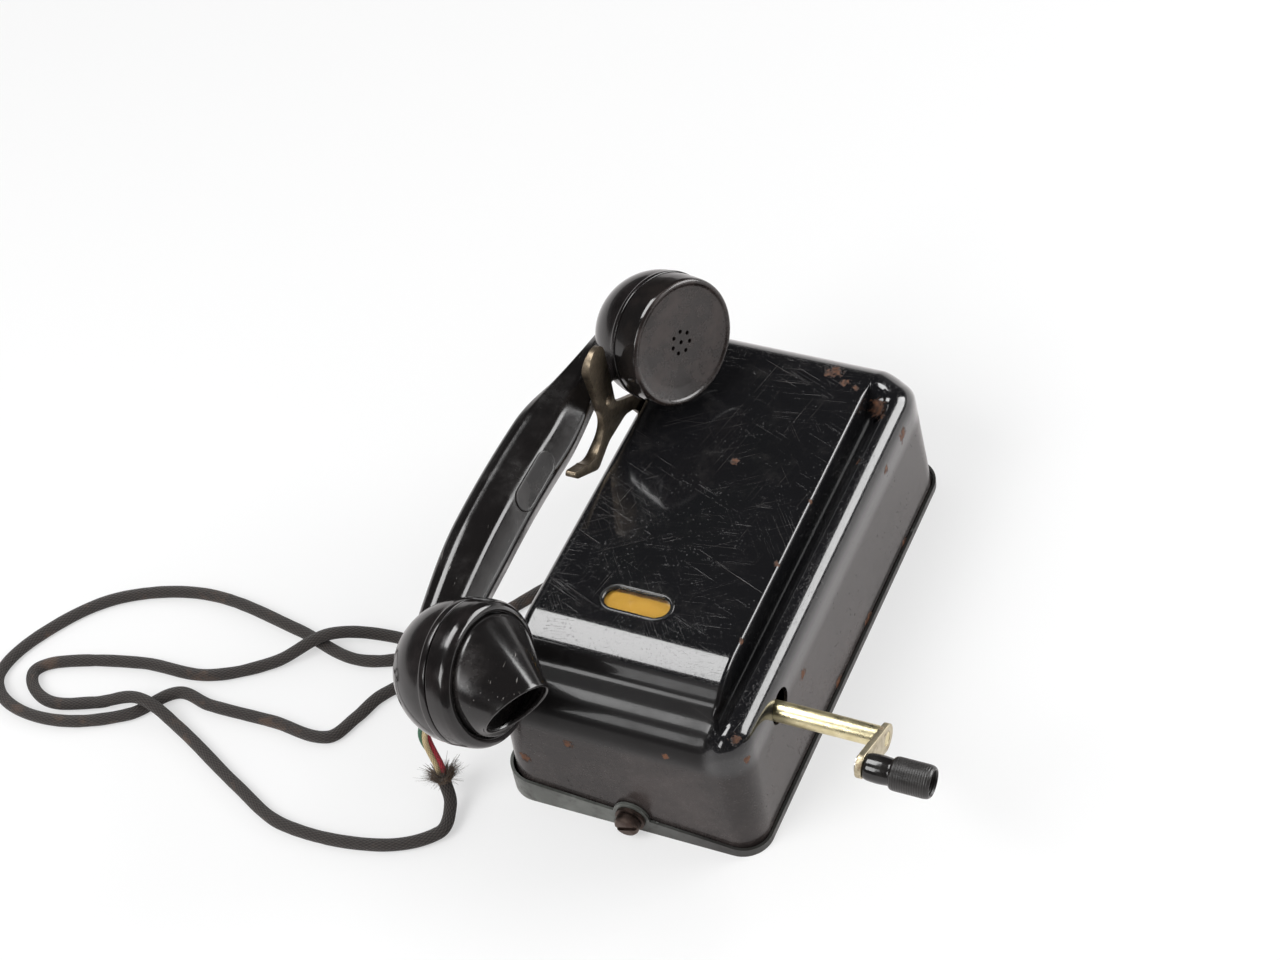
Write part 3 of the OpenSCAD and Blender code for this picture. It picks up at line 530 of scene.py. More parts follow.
def moulded(name, colour, second, rough, speck=False, gloss=0.5):
    # two close tones in clouds, rubbed duller in places, with pale flecks where asked
    m = Looks(name, rough=rough, Specular_IOR_Level=gloss)
    cloud = m.noise(90, 6, 0.62).between(0.35, 0.7)
    rub = m.noise(35, 5, 0.6).between(0.45, 0.75)
    tone = cloud.tint(colour, second)
    if speck:
        tone = (1 - m.cells(900).between(0.1, 0.2)).tint(tone, tuple(min(1, c * 2.2 + 0.03) for c in second))
    m.set("Base Color", tone)
    m.set("Roughness", rough + rub * 0.16 + cloud * 0.06)
    m.bump(m.noise(1100, 4, 0.6) * 0.4 + m.noise(240, 3) * 0.6, 0.00006, 0.5)
    return m


def wound(name, light, dark):
    # turns of wire side by side, with painted shade in the grooves between them and a slow change of tone
    m = Looks(name, rough=0.35, metal=0.2)
    turns = m.waves(2600 / 6.28, 0.6)
    cloud = m.noise(120, 5)
    # painted shade: the colour goes dark between the turns
    m.set("Base Color", (turns * 0.8).tint(dark, cloud.tint(light, dark)))
    m.set("Roughness", 0.3 + cloud * 0.3)
    m.bump(turns, 0.00018, 0.9)
    return m


def textile(name, light, dark, around, each, worn=None):
    # two sets of strands crossing over a tube, with painted light where a strand lies on top and painted shade in the
    # gaps; u runs once round and v in metres along it
    m = Looks(name, rough=0.85, Sheen_Weight=0.12, Sheen_Roughness=0.5)
    flat = m.w.node("UVMap", {"uv_map": "along"})
    u, v = m.axis(0, flat), m.axis(1, flat)
    one = ((u * around + v / each) * 6.2832).math("SINE")
    two = ((u * around - v / each) * 6.2832).math("SINE")
    weave = one.most(two)
    over = (one * two).between(-0.6, 0.6)
    hair = m.noise(1500, 6, 0.7)
    # painted light and shade: a strand is lighter where it lies over the other
    tone = (over * 0.6 + hair * 0.4).tint(dark, light)
    # painted shade: near black in the gaps between the strands
    tone = ((1 - weave.between(-0.2, 0.6)) * 0.85).tint(tone, tuple(c * 0.25 for c in dark))
    if worn:
        tone = (m.noise(45, 6, 0.7).between(0.56, 0.68) * 0.75).tint(tone, worn)
    m.set("Base Color", tone)
    m.set("Roughness", 0.72 + hair * 0.25)
    m.bump(weave * 0.7 + hair * 0.4 + over * 0.3, 0.00035, 0.9)
    return m


def handled(name, colour, second, rough, mottle=0.5):
    # moulded black with smudges, fine scratches and a little dust
    m = Looks(name, rough=rough, Specular_IOR_Level=0.5)
    smudge = m.noise(38, 7, 0.66).between(0.42, 0.7)
    scratch = (m.noise(800, 2, 0.5, m.stretched(1, 0.06, 1, turn=(0, 0, 12))).between(0.68, 0.76)
               * m.noise(30, 4).between(0.5, 0.6))
    dust = m.noise(420, 5, 0.7).between(0.6, 0.75) * smudge
    tone = (smudge * mottle).tint(colour, second)
    tone = (dust * 0.45).tint(tone, (0.055, 0.048, 0.044))
    m.set("Base Color", scratch.tint(tone, (0.13, 0.12, 0.11)))
    m.set("Roughness", rough * 0.75 + smudge * 0.2 + scratch * 0.2 + dust * 0.2)
    m.bump(m.noise(900, 3) * 0.3 + m.noise(150, 3) * 0.5 - scratch * 0.8, 0.00008, 0.6)
    return m


# colours, and in metres the heights of the rim and the dish and the dish's radius
capPaint = {"face": ((0.016, 0.012, 0.011), (0.042, 0.031, 0.028)), "drip": (0.008, 0.006, 0.006),
            "side": ((0.010, 0.009, 0.009), (0.018, 0.015, 0.014)), "front": (-0.0013, -0.0007),
            "dish": (-0.0035, -0.0025), "dishEdge": (0.0272, 0.0285)}


def faced():
    # glossy black sides and a brownish, stained face; the face is what lies within 1 mm of the cap's front plane, and
    # the shallow dish inside its rim
    m = Looks("receiverBlack", rough=0.12, Specular_IOR_Level=0.5)
    origin, _, _, ahead = headFrame("ear")
    away = m.vector("SUBTRACT", m.place, tuple(origin * mm))
    height = m.vector("DOT_PRODUCT", away, tuple(ahead), 1)
    inner = 1 - m.vector("LENGTH", away, out=1).between(*capPaint["dishEdge"])
    face = height.between(*capPaint["front"]).most(inner * height.between(*capPaint["dish"]))
    stain = m.noise(62, 8, 0.7).between(0.42, 0.66)
    drip = m.noise(210, 5, 0.7, m.stretched(1, 0.25, 1)).between(0.58, 0.7)
    tone = (drip * 0.7).tint(stain.tint(*capPaint["face"]), capPaint["drip"])
    m.set("Base Color", face.tint(stain.tint(*capPaint["side"]), tone))
    m.set("Roughness", 0.10 + face * 0.14 + stain * face * 0.12)
    m.bump(m.noise(300, 4) * 0.5 + m.noise(1200, 2) * 0.2 - drip * 0.4, 0.00008, 0.6)
    return m


# colours, and in metres where the grip starts and ends along x and the ribs' pitch
gripPaint = {"tones": ((0.011, 0.010, 0.010), (0.022, 0.020, 0.019)), "grip": (0.020, 0.018, 0.017),
             "start": (0.1262, 0.1274), "end": (0.1438, 0.1446), "ribPitch": 0.0011}


def gripped():
    # glossy at the neck, and a matt grip with fine ribs further out
    m = Looks("knobBlack", rough=0.2, Specular_IOR_Level=0.5)
    x = m.axis(0)
    grip = x.between(*gripPaint["start"]) * (1 - x.between(*gripPaint["end"]))
    cloud = m.noise(130, 5).between(0.35, 0.7)
    m.set("Base Color", (grip * 0.7).tint(cloud.tint(*gripPaint["tones"]), gripPaint["grip"]))
    m.set("Roughness", 0.10 + cloud * 0.1 + grip * 0.24)
    m.bump(m.waves(2 * math.pi / gripPaint["ribPitch"] / 20) * grip + m.noise(900, 3) * 0.12, 0.00018, 0.8)
    return m


def fibrous():
    # brown thread in two tones
    m = Looks("frayedThread", rough=0.85, Sheen_Weight=0.2)
    m.set("Base Color", m.noise(1400, 3).between(0.35, 0.65).tint((0.03, 0.02, 0.014), (0.14, 0.09, 0.055)))
    m.set("Roughness", 0.75 + m.noise(2200, 2) * 0.2)
    m.bump(m.noise(4000, 2), 0.00005, 0.6)
    return m


def makeFinishes():
    # a node takes the finish of its slot; the last ones are for the finer pieces alone
    made = {look.name: look for look in (
        trayPaint(), glossEnamel(), card(), pane(),
        moulded("label_rim", (0.012, 0.012, 0.012), (0.03, 0.03, 0.03), 0.18),
        moulded("black_plastic", (0.009, 0.008, 0.008), (0.018, 0.015, 0.015), 0.09),
        moulded("brown_plastic", (0.16, 0.07, 0.035), (0.09, 0.038, 0.02), 0.35, speck=True),
        moulded("magnet_steel", (0.25, 0.035, 0.025), (0.13, 0.02, 0.015), 0.3),
        moulded("rubber", (0.020, 0.018, 0.016), (0.045, 0.04, 0.035), 0.62),
        metal("dark_screw", (0.13, 0.10, 0.085), (0.04, 0.028, 0.024), 0.38, rust=(0.045, 0.022, 0.015)),
        metal("plain_steel", (0.55, 0.54, 0.51), (0.28, 0.26, 0.23), 0.28, rust=(0.2, 0.1, 0.05)),
        metal("passivated_steel", (0.80, 0.72, 0.47), (0.50, 0.42, 0.20), 0.24, (0.15, 1, 1), scale=230),
        metal("bronze", (0.215, 0.175, 0.125), (0.070, 0.055, 0.042), 0.36, (1, 0.2, 1), stain=0.85),
        metal("brass", (0.72, 0.53, 0.24), (0.42, 0.28, 0.11), 0.26, (1, 1, 0.2)),
        metal("soft_iron", (0.30, 0.30, 0.31), (0.13, 0.12, 0.12), 0.45, rust=(0.16, 0.07, 0.035)),
        wound("winding", (0.42, 0.17, 0.07), (0.12, 0.045, 0.02)),
        textile("braid", (0.052, 0.040, 0.034), (0.020, 0.015, 0.013), 14, 0.0030, worn=(0.085, 0.048, 0.030)),
        textile("green_wire", (0.05, 0.22, 0.10), (0.02, 0.10, 0.05), 8, 0.0024),
        textile("cream_wire", (0.80, 0.64, 0.36), (0.50, 0.36, 0.17), 8, 0.0024),
        textile("red_wire", (0.62, 0.015, 0.035), (0.30, 0.008, 0.02), 8, 0.0024),
        handled("handleBlack", (0.009, 0.008, 0.008), (0.020, 0.017, 0.016), 0.17), faced(),
        handled("hornBlack", (0.010, 0.009, 0.009), (0.032, 0.027, 0.026), 0.20, 0.6),
        moulded("plaqueBlack", (0.010, 0.009, 0.009), (0.020, 0.017, 0.016), 0.24, gloss=0.4), gripped(),
        metal("tanSteel", (0.56, 0.50, 0.36), (0.34, 0.29, 0.19), 0.36, (1, 0.4, 0.4), rust=(0.16, 0.09, 0.045),
              scale=210, stain=0.7), fibrous())}
    for node in nodes.values():
        look = made[node.data.materials[0].name.split(".")[0]]
        for k in range(len(node.material_slots)):
            node.data.materials[k] = look.material
    return made


# the braided cord and its frayed end
cordShape = {"radius": 3.0, "sides": 28, "lumps": 260, "lumpy": 0.018, "lumpRange": (0.955, 1.02), "perPoint": 14}
cordPoints = [(-61.5, 12, 9), (-73.5, 12, 9), (-84, 7, 5), (-100, -12, 3.2), (-116, -38, 3.1), (-128, -68, 3.1),
              (-146, -92, 3.1), (-151.5, -107, 3.1), (-160, -122, 3.1), (-189, -121.5, 3.1), (-225, -122, 3.1),
              (-244, -120, 3.1), (-261, -139, 3.1), (-293, -153, 3.1), (-324, -151, 3.1), (-338, -135, 3.1),
              (-326, -101, 3.1), (-301, -74, 3.1), (-259, -60, 3.1), (-204, -67, 3.1), (-171, -75, 3.1),
              (-150, -70, 3.1), (-143, -61, 3.1), (-156, -57, 3.5), (-184, -69, 9.8), (-206, -89, 3.8),
              (-235, -106, 3.2), (-271, -109, 3.1), (-312, -121, 3.1), (-321, -132, 3.2), (-305, -144, 3.1),
              (-280, -139, 5), (-257, -133, 10), (-233, -139, 4.1), (-188, -161, 3.1), (-156, -174, 3.1),
              (-109, -171, 3.4), (-83, -156, 4), (-83, -142, 7.5), (-88.4, -134.6, 16)]
frayed = {"fibres": 900, "radius": 0.3, "inside": 2.5, "reach": (1.5, 6.0), "longShare": 0.15, "longer": 1.6,
          "spread": 7.5, "curl": 2.2, "sag": 5.0, "rows": 7, "sides": 4}


def along(route):
    # the running length at each point
    return np.concatenate([[0], np.cumsum(np.linalg.norm(np.diff(route, axis=0), axis=1))])


def hermite(points, per):
    # a smooth curve through the points: unit headings times the stretch's length at both its ends
    p = np.array(points, float)
    ahead = unit(np.concatenate([p[1:2] - p[:1], p[2:] - p[:-2], p[-1:] - p[-2:-1]]))
    t = np.linspace(0, 1, per, endpoint=False)[:, None]
    out = []
    for i in range(len(p) - 1):
        l = np.linalg.norm(p[i + 1] - p[i])
        out.append(p[i] * (1 + 2 * t) * (1 - t) ** 2 + ahead[i] * l * t * (1 - t) ** 2
                   - ahead[i + 1] * l * t * t * (1 - t) + p[i + 1] * t * t * (3 - 2 * t))
    return np.concatenate(out + [p[-1:]])


def softTube(name, route, radius, sides):
    # a circle of the radius, or of one radius per point, carried square to the route without twisting and closed at
    # both ends; its uv runs once round and, in metres, along it
    ahead = unit(np.gradient(route, axis=0))
    u = np.empty_like(route)
    u[0] = unit(np.cross(ahead[0], (1, 0.1, 0.2)))
    for i in range(1, len(route)):
        u[i] = unit(u[i - 1] - (u[i - 1] @ ahead[i]) * ahead[i])
    v = np.cross(ahead, u)
    turn = np.linspace(0, 2 * np.pi, sides, endpoint=False)
    r = np.broadcast_to(radius, (len(route),))[:, None, None]
    turn = turn[None, :, None]
    rings = route[:, None] + r * (np.cos(turn) * u[:, None] + np.sin(turn) * v[:, None])
    run = along(route)
    return net(name, closed(rings), True, (np.linspace(0, 1, sides + 1), np.concatenate([run[:1], run, run[-1:]])))


def makeFrayedEnd(tip, heading, looks):
    # each fibre starts inside the braid and runs ahead by t, outwards and aside by t^2, and down by t^2.4
    n, m, many = frayed["rows"], frayed["sides"], frayed["fibres"]
    side = unit(np.cross(heading, (0, 0, 1)))
    rise = np.cross(side, heading)
    luck = np.random.default_rng(11)
    turn = luck.uniform(0, 2 * np.pi, many)
    reach = luck.uniform(*frayed["reach"], many) * np.where(luck.random(many) < frayed["longShare"],
                                                            frayed["longer"], 1)
    spread = 1.0 + luck.uniform(0.05, 1.0, many) ** 1.5 * frayed["spread"]
    out = np.cos(turn)[:, None] * side + np.sin(turn)[:, None] * rise
    curl = luck.standard_normal((many, 3)) * frayed["curl"]
    start = (tip + (cordShape["radius"] * luck.uniform(0.55, 0.97, many))[:, None] * mm * out
             - heading * frayed["inside"] * mm)
    t = np.linspace(0, 1, n)
    line = (start[:, None] + mm * ((frayed["inside"] + reach)[:, None, None] * t[None, :, None] * heading
            + spread[:, None, None] * (t ** 2)[None, :, None] * out[:, None]
            + curl[:, None] * (t ** 2 * (1 - 0.3 * t))[None, :, None]))
    low = luck.uniform(0.0, 1.0, many)[:, None] * np.array([[0, 0, -frayed["sag"] * mm]])
    line = line + low[:, None] * (t ** 2.4)[None, :, None]
    ring = np.linspace(0, 2 * np.pi, m, endpoint=False)
    slim = frayed["radius"] * mm * (1 - 0.75 * t)
    across = unit(np.cross(out, heading))
    skin = (line[:, :, None] + slim[None, :, None, None] * (np.cos(ring)[None, None, :, None] * out[:, None, None]
            + np.sin(ring)[None, None, :, None] * across[:, None, None]))
    first = np.arange(many)[:, None] * n * m
    sides = (first[..., None] + cellsOf(n, m, True)[2]).reshape(-1, 4)
    ends = [first + row * m + np.arange(m) for row in (0, n - 1)]
    fibres = meshFrom("frayedEnd", skin, np.concatenate([sides, *ends]))
    return finish(fibres, "base", ["braid_end"], looks["frayedThread"])


def makeCord(looks):
    # a tube along the smooth route, its radius varied slightly by a line of random lumps
    route = fromMm(hermite(cordPoints, cordShape["perPoint"]))
    run = along(route)
    many = cordShape["lumps"]
    lumps = 1 + cordShape["lumpy"] * np.random.default_rng(4).standard_normal(many)
    wide = np.clip(np.interp(run, np.linspace(0, run[-1], many), lumps), *cordShape["lumpRange"])
    cord = softTube("cord", route, cordShape["radius"] * mm * wide, cordShape["sides"])
    finish(cord, "base", ["line_cord"], looks["braid"])
    fibres = makeFrayedEnd(route[-1], unit(route[-1] - route[-2]), looks)
    return route


# the three conductors from the frayed end up into the handset
conductors = {"radius": 1.35, "top": (-82.1, -132.3, 79), "bow": (-6.5, -1.5, 0), "twist": 1.5, "turns": 0.55,
              "phase": 0.6, "sides": 16, "steps": 64, "inside": (4.0, 2.0), "clear": 1.5, "loose": 0.25}


def makeConductors(route, looks):
    # three strands twisted about one line that bows by sin^2 between the braid and the handset
    heading = unit(route[-1] - route[-2])
    low, high = route[-1] / mm + conductors["clear"] * heading, np.array(conductors["top"], float)
    t = np.linspace(0, 1, conductors["steps"])[:, None]
    middle = low + (high - low) * t + np.sin(np.pi * t) ** 2 * np.array(conductors["bow"])
    middle = np.concatenate([route[-1] / mm - heading * np.array(conductors["inside"])[:, None], middle])
    ahead = unit(np.gradient(middle, axis=0))
    side = unit(np.cross(ahead, (0, 1, 0.1)))
    rise = np.cross(ahead, side)
    many = len(middle)
    for k, name in enumerate(("green", "cream", "red")):
        wide = conductors["twist"] * (1 + conductors["loose"] * np.sin(np.linspace(0, 7, many) + 2 * k))[:, None]
        wide = wide * np.clip(np.linspace(0.55, 3.5, many), 0, 1)[:, None]
        turn = (k - 1) / 3 + conductors["turns"] * np.linspace(0, 1, many)
        turn = (2 * np.pi * turn + conductors["phase"])[:, None]
        line = middle + wide * (np.cos(turn) * side + np.sin(turn) * rise)
        wire = softTube(name + "Conductor", fromMm(line), conductors["radius"] * mm, conductors["sides"])
        finish(wire, None, ["wire_" + name], looks[name + "_wire"])
        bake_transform(wire)


# the cover: one height field with its walls, then given its thickness and its holes
case = {"half": 61.24, "top": 120.4, "bottom": -120.6, "panel": 83.0, "ridge": 78.0, "ridgeFrom": 53, "corner": 14.0,
        "leftRound": 6.0, "rightRound": 11.0, "topRound": 24.0, "bottomRound": 15.0, "shoulder": 2,
        "trim": 3.5, "trimFrom": (38, 50), "panelRight": 41.3, "skirtX": 62.8, "skirtY": 121.8, "skirtZ": 2.0,
        "thick": 1.6}
channel = {"floor": 70.0, "rise": 8, "ends": [-111.5, 97.5], "edges": [50.3, 53.3], "fade": (89.0, 99.0),
           "slant": (42.3, -105.5), "tip": (47.3, -114.5)}
bend = {"start": -74.0, "long": 25.0, "drop": 9.0, "at": (0, 0.1, 0.3, 0.5, 0.6, 0.7, 0.78, 0.85, 0.92, 0.97, 1),
        "slope": (0, 0.10, 0.22, 0.33, 0.42, 0.68, 0.80, 0.74, 0.40, 0.12, 0.03)}
label = {"place": (-12.7, -59.5), "long": 33, "high": 13.5}
coverHoles = [("crankHole", 8.7, yWay, zWay, (52, -77.9, 58.2), (72, -77.9, 58.2)),
              ("hookHole", 5.2, yWay, zWay, (-72, 74, 62), (-52, 74, 62)),
              ("screwHole", 2.2, xWay, yWay, (49.3, 84.5, 60), (49.3, 84.5, 92)),
              ("endHole", 2.8, xWay, zWay, (1, -130, 9), (1, -112, 9))]
glandSlot = {"radius": 6.6, "deep": 12, "low": (-72, 12, 9), "high": (-52, 12, 9)}


def panelLevel(y):
    # the panel is level, then bends down slowly and back quickly to a ledge; the drop is the slope's running sum
    t = np.linspace(0, 1, 400)
    slope = np.interp(t, bend["at"], bend["slope"])
    drop = np.cumsum(slope) / slope.sum() * bend["drop"]
    return case["panel"] - np.interp((bend["start"] - y) / bend["long"], t, drop)


def channelEdge(y):
    # the channel's far edge runs straight between its two ends
    return np.interp(y, channel["ends"], channel["edges"])


def quarterFall(d, r):
    # how far a quarter circle of radius r has fallen at the distance d from its foot
    return r - np.sqrt(np.maximum(r * r - np.clip(r - d, 0, None) ** 2, 0))


def coverHeight(x, y, fromSide, fromEnd, around):
    # the panel, the channel and the ridge, eased into one another, less a quarter circle's fall near an edge; in a
    # corner the side's and the end's falls are shared by cos^2 and sin^2 of its angle
    right, ridgeFrom = case["panelRight"], case["ridgeFrom"]
    t = np.clip((x - right) / (channelEdge(y) + 1 - right), 0, 1)
    deep = channel["floor"] + channel["rise"] * ease(0, 1, t ** 1.5)
    (slantX, slantY), (tipX, tipY) = channel["slant"], channel["tip"]
    # the channel ends past two lines, one slanting by 5 in 9 and one at 45 degrees
    pastSlant = ((x - slantX) * 9 + (y - slantY) * 5) / 10.3
    pastTip = (-(x - tipX) + (y - tipY)) / 1.414
    depth = (1 - ease(*channel["fade"], y)) * ease(0, 2.4, pastSlant) * ease(0, 2.0, pastTip)
    panel = panelLevel(y)
    base = panel + (case["ridge"] - panel) * ease(right, ridgeFrom, x)
    shoulder = quarterFall(right - x, case["shoulder"]) * depth
    level = np.where(x > right + 0.005, base * (1 - depth) + deep * depth, panel - shoulder)
    sideRound = np.where(x < 0, case["leftRound"], case["rightRound"])
    endRound = np.where(y > 0, case["topRound"], case["bottomRound"] - case["trim"] * ease(*case["trimFrom"], x))
    share = np.cos(around) ** 2
    return level - share * quarterFall(fromSide, sideRound) - (1 - share) * quarterFall(fromEnd, endRound)


def cornerShares(x, y):
    # the end rounding's length and the end's place, and how far into a corner each point is along x and y, 0 to 1
    w, e = case["corner"], np.where(y > 0, case["topRound"], case["bottomRound"])
    end = np.where(y > 0, case["top"], -case["bottom"])
    return (e, end, np.clip((np.abs(x) - (case["half"] - w)) / w, 0, 1),
            np.clip((np.abs(y) - (end - e)) / e, 0, 1))


def coverGrid():
    # straight rows and columns, closer where the surface curves; the corners' squares are drawn into quarter circles
    half, w = case["half"], case["corner"]
    curl = lambda a, b, steps: 1 - np.cos(np.linspace(a, b, steps))
    left = np.concatenate([-half + case["leftRound"] * curl(0, np.pi / 2, 11), [-53.5, -51.5, -49.3]])
    flat = np.linspace(-47.24, 37.5, 34)
    lip = [38.6, 39.3, 39.7, 40.1, 40.5, 40.8, 41.02, 41.18, 41.27, 41.3, 41.33, 41.36, 41.4, 41.46]
    xs = np.concatenate([left, flat, lip])
    down = case["bottom"] + case["bottomRound"] * curl(0, np.pi / 2, 20)
    up = case["top"] - case["topRound"] * curl(np.pi / 2, 0, 22)
    level = [np.linspace(-104.6, -72, 44), np.linspace(-70, 86, 62), np.linspace(87, 95.4, 12)]
    ys = np.concatenate([down, *level, up])
    edge = channelEdge(ys)[:, None] + 1
    inner, outer = np.linspace(0, 1, 20)[1:], np.linspace(0, 1, 14)[1:] ** 0.8
    x = np.concatenate([np.repeat(xs[None], len(ys), 0), lip[-1] + (edge - lip[-1]) * inner[None],
                        edge + (half - edge) * outer[None]], 1)
    y = np.repeat(ys[:, None], x.shape[1], 1)
    e, end, a, b = cornerShares(x, y)
    draw = np.maximum(a, b) / np.maximum(np.hypot(a, b), 1e-9)
    both = (a > 0) & (b > 0)
    u, v = np.where(both, a * draw, a), np.where(both, b * draw, b)
    rho = np.where(both, np.hypot(u, v), np.maximum(a, b))
    x = np.where(both, np.sign(x) * (half - w + w * u), x)
    y = np.where(both, np.sign(y) * (end - e + e * v), y)
    around = np.arctan2(v, np.maximum(u, 1e-9)) * np.where((a > 0) | (b > 0), 1, 0)
    fromSide = np.where(a > 0, (1 - rho) * w, w)
    fromEnd = np.where(b > 0, (1 - rho) * e, e)
    return np.stack([x, y, coverHeight(x, y, fromSide, fromEnd, around)], -1)


def coverWalls(grid):
    # from the height field's rim down to the skirt, each rim point joined to its like on the skirt's outline
    rim = np.concatenate([grid[0, :-1], grid[:-1, -1], grid[-1, :0:-1], grid[:0:-1, 0]])
    x, y = rim[:, 0], rim[:, 1]
    w = case["corner"]
    e, end, a, b = cornerShares(x, y)
    angle = np.arctan2(b, np.maximum(a, 1e-9))
    inX, inY = case["skirtX"] - w, case["skirtY"] - w
    footX = np.where(a > 0, np.sign(x) * (inX + w * np.cos(angle)), x * inX / (case["half"] - w))
    footY = np.where(b > 0, np.sign(y) * (inY + w * np.sin(angle)), y * inY / (end - e))
    foot = np.stack([footX, footY, np.full_like(footX, case["skirtZ"])], -1)
    t = np.linspace(0, 1, 14)[:, None, None] ** 1.15
    return rim[None] * (1 - t) + foot[None] * t


def makeCover(looks):
    # the height field and the walls as one skin, thickened inwards, with the holes cut through
    grid = coverGrid()
    walls = coverWalls(grid)
    top = cellsOf(*grid.shape[:2])[2]
    side = grid.shape[0] * grid.shape[1] + cellsOf(*walls.shape[:2], True)[2][:, [0, 3, 2, 1]]
    points = np.concatenate([grid.reshape(-1, 3), walls.reshape(-1, 3)])
    obj = meshFrom("coverShell", fromMm(points), np.concatenate([top, side]))
    if sum(p.normal.z * p.area for p in obj.data.polygons if p.center.z > 0.06) < 0:
        obj.data.flip_normals()
    shell = obj.modifiers.new("thickness", "SOLIDIFY")
    shell.thickness, shell.offset, shell.use_even_offset = case["thick"] * mm, -1, False
    r, deep = glandSlot["radius"], glandSlot["deep"]
    gland = [(0, -r, -deep), (0, r, -deep)]
    gland += [(0, r * math.cos(a), r * math.sin(a)) for a in np.linspace(0, math.pi, 24)]
    slot = stadium(label["long"], label["high"])
    cutters = [prism("labelHole", slot, (*label["place"], 74), (*label["place"], 92))]
    cutters += [prism(name, disc(radius, u, v), low, high) for name, radius, u, v, low, high in coverHoles]
    cutters.append(prism("glandHole", gland, glandSlot["low"], glandSlot["high"]))
    carve(obj, cutters)
    finish(obj, "base", ["cover"], looks["cover"], 32)


# the rim round the label and the screw at the lower end
rimSection = [(1.5, 83.03), (1.45, 83.4), (1.0, 83.72), (0.1, 83.72), (-0.55, 83.2), (-0.6, 81.45), (-0.15, 81.4),
              (-0.1, 83.0)]  # how far out from the hole's edge, and how high
endScrew = {"place": (1, -114.5, 9), "headRadius": 6, "stem": 2.4, "slotTurn": 20, "slotHalf": (8, 1.15)}


def makeLabelRim(looks):
    # the hole's outline carried round the section
    rows = [stadium(label["long"], label["high"], out) + (*label["place"], z) for out, z in loop(rimSection, 0.28, 5)]
    rim = net("labelRim", fromMm(rows + rows[:1]), True)
    finish(rim, "base", ["label_rim"], looks["label_rim"])


def makeEndScrew(looks):
    # a turned profile with a slot across its head
    r, stem = endScrew["headRadius"], endScrew["stem"]
    profile = rounded([(0, 0), (1.7, 0), (stem, 0.7), (stem, 11.2), (r - 0.6, 11.2), (r, 11.8), (r, 14.6),
                       (r - 0.9, 16.0), (r - 2.6, 16.2), (0, 16.2)], 0.45)
    screw = revolve("endScrew", profile, axes(endScrew["place"], (xWay, zWay, (0, -1, 0))), 96)
    turn = math.radians(endScrew["slotTurn"])
    u, v = np.array([math.cos(turn), 0, math.sin(turn)]), np.array([-math.sin(turn), 0, math.cos(turn)])
    long, wide = endScrew["slotHalf"]
    bar = [a * long * u + b * wide * v for a, b in ((-1, -1), (1, -1), (1, 1), (-1, 1))]
    carve(screw, [prism("slot", bar, (1, -129.4, 9), (1, -132, 9))])
    finish(screw, "base", ["cover_screw"], looks["dark_screw"], 35)


# the hook in the left wall; places are from its pivot along y and z
hook = {"pivot": (74, 62), "low": -64.4, "high": -62.0, "edge": 0.35, "swell": 2.4, "swellFrom": (46, 62),
        "cutTo": 64, "round": 3.0, "top": (-46.8, 75, 8.6), "boss": 9.0, "fork": (-64.5, 44, 13.0),
        "hole": (-43.6, 47.4, 2.75),
        "outline": [(-84.5, 41), (-86, 39), (-83.7, 35.7), (-64.2, 21.5), (-50, 26.4), (-30.6, 25), (-22, 20),
                    (-7.5, -5), (7.5, 5), (-12, 22), (-31, 35.5), (-37.6, 41), (-37.6, 56), (-38.4, 75),
                    (-55.3, 75), (-51.8, 48), (-73.5, 34.5)]}


def makeHook(looks):
    # a flat plate with round ends and holes, whose outer face swells towards the lower tip
    py, pz = hook["pivot"]
    about = lambda spot, steps: disc(spot[2], yWay, zWay, (0, py + spot[0], pz + spot[1]), steps)
    outline = loop(hook["outline"], hook["round"], 7)
    plane = np.stack([outline[:, 0] * 0, outline[:, 0] + py, outline[:, 1] + pz], -1)
    low, high = (hook["low"], 0, 0), (hook["high"], 0, 0)
    plate = prism("hookPlate", plane, low, high)
    carve(plate, [prism("hookTop", about(hook["top"], 96), low, high),
                  prism("hookBoss", about((0, 0, hook["boss"]), 96), low, high)], "UNION")
    wide = (hook["low"] - 2, 0, 0), (hook["high"] + 2, 0, 0)
    carve(plate, [prism("fork", about(hook["fork"], 128), *wide), prism("hookHole", about(hook["hole"], 48), *wide)])
    softEdges(plate, hook["edge"])
    bm = bmesh.new()
    bm.from_mesh(plate.data)
    start, stop = hook["swellFrom"]
    for cut in np.linspace(-start, -hook["cutTo"], 10):
        bmesh.ops.bisect_plane(bm, geom=bm.verts[:] + bm.edges[:] + bm.faces[:], dist=1e-7,
                               plane_co=(0, (py + cut) * mm, 0), plane_no=yWay)
    bm.to_mesh(plate.data)
    bm.free()
    spots = np.empty(len(plate.data.vertices) * 3, np.float32)
    plate.data.vertices.foreach_get("co", spots)
    spots = spots.reshape(-1, 3).astype(float)
    swell = hook["swell"] * mm * ease(start - py, stop - py, -spots[:, 1] / mm)
    spots[:, 0] -= np.where(spots[:, 0] < (hook["low"] + hook["high"]) / 2 * mm, swell, 0)
    plate.data.vertices.foreach_set("co", spots.astype(np.float32).ravel())
    plate.data.update()
    finish(plate, "hook", ["hook_lever"], looks["bronze"], 40)


# the crank: shaft, arm and knob
crank = {"shaft": (0, -81.3, 59), "knob": (113.92, -106.52, 72.04), "armLow": 110.62, "armHigh": 113.62,
         "armRadii": (6.8, 6.0), "eyes": (3.25, 2.5), "edge": 0.4, "knobLong": 31.0, "knobRadius": 7.6, "bore": 2.55}
alongX = (yWay, zWay, xWay)


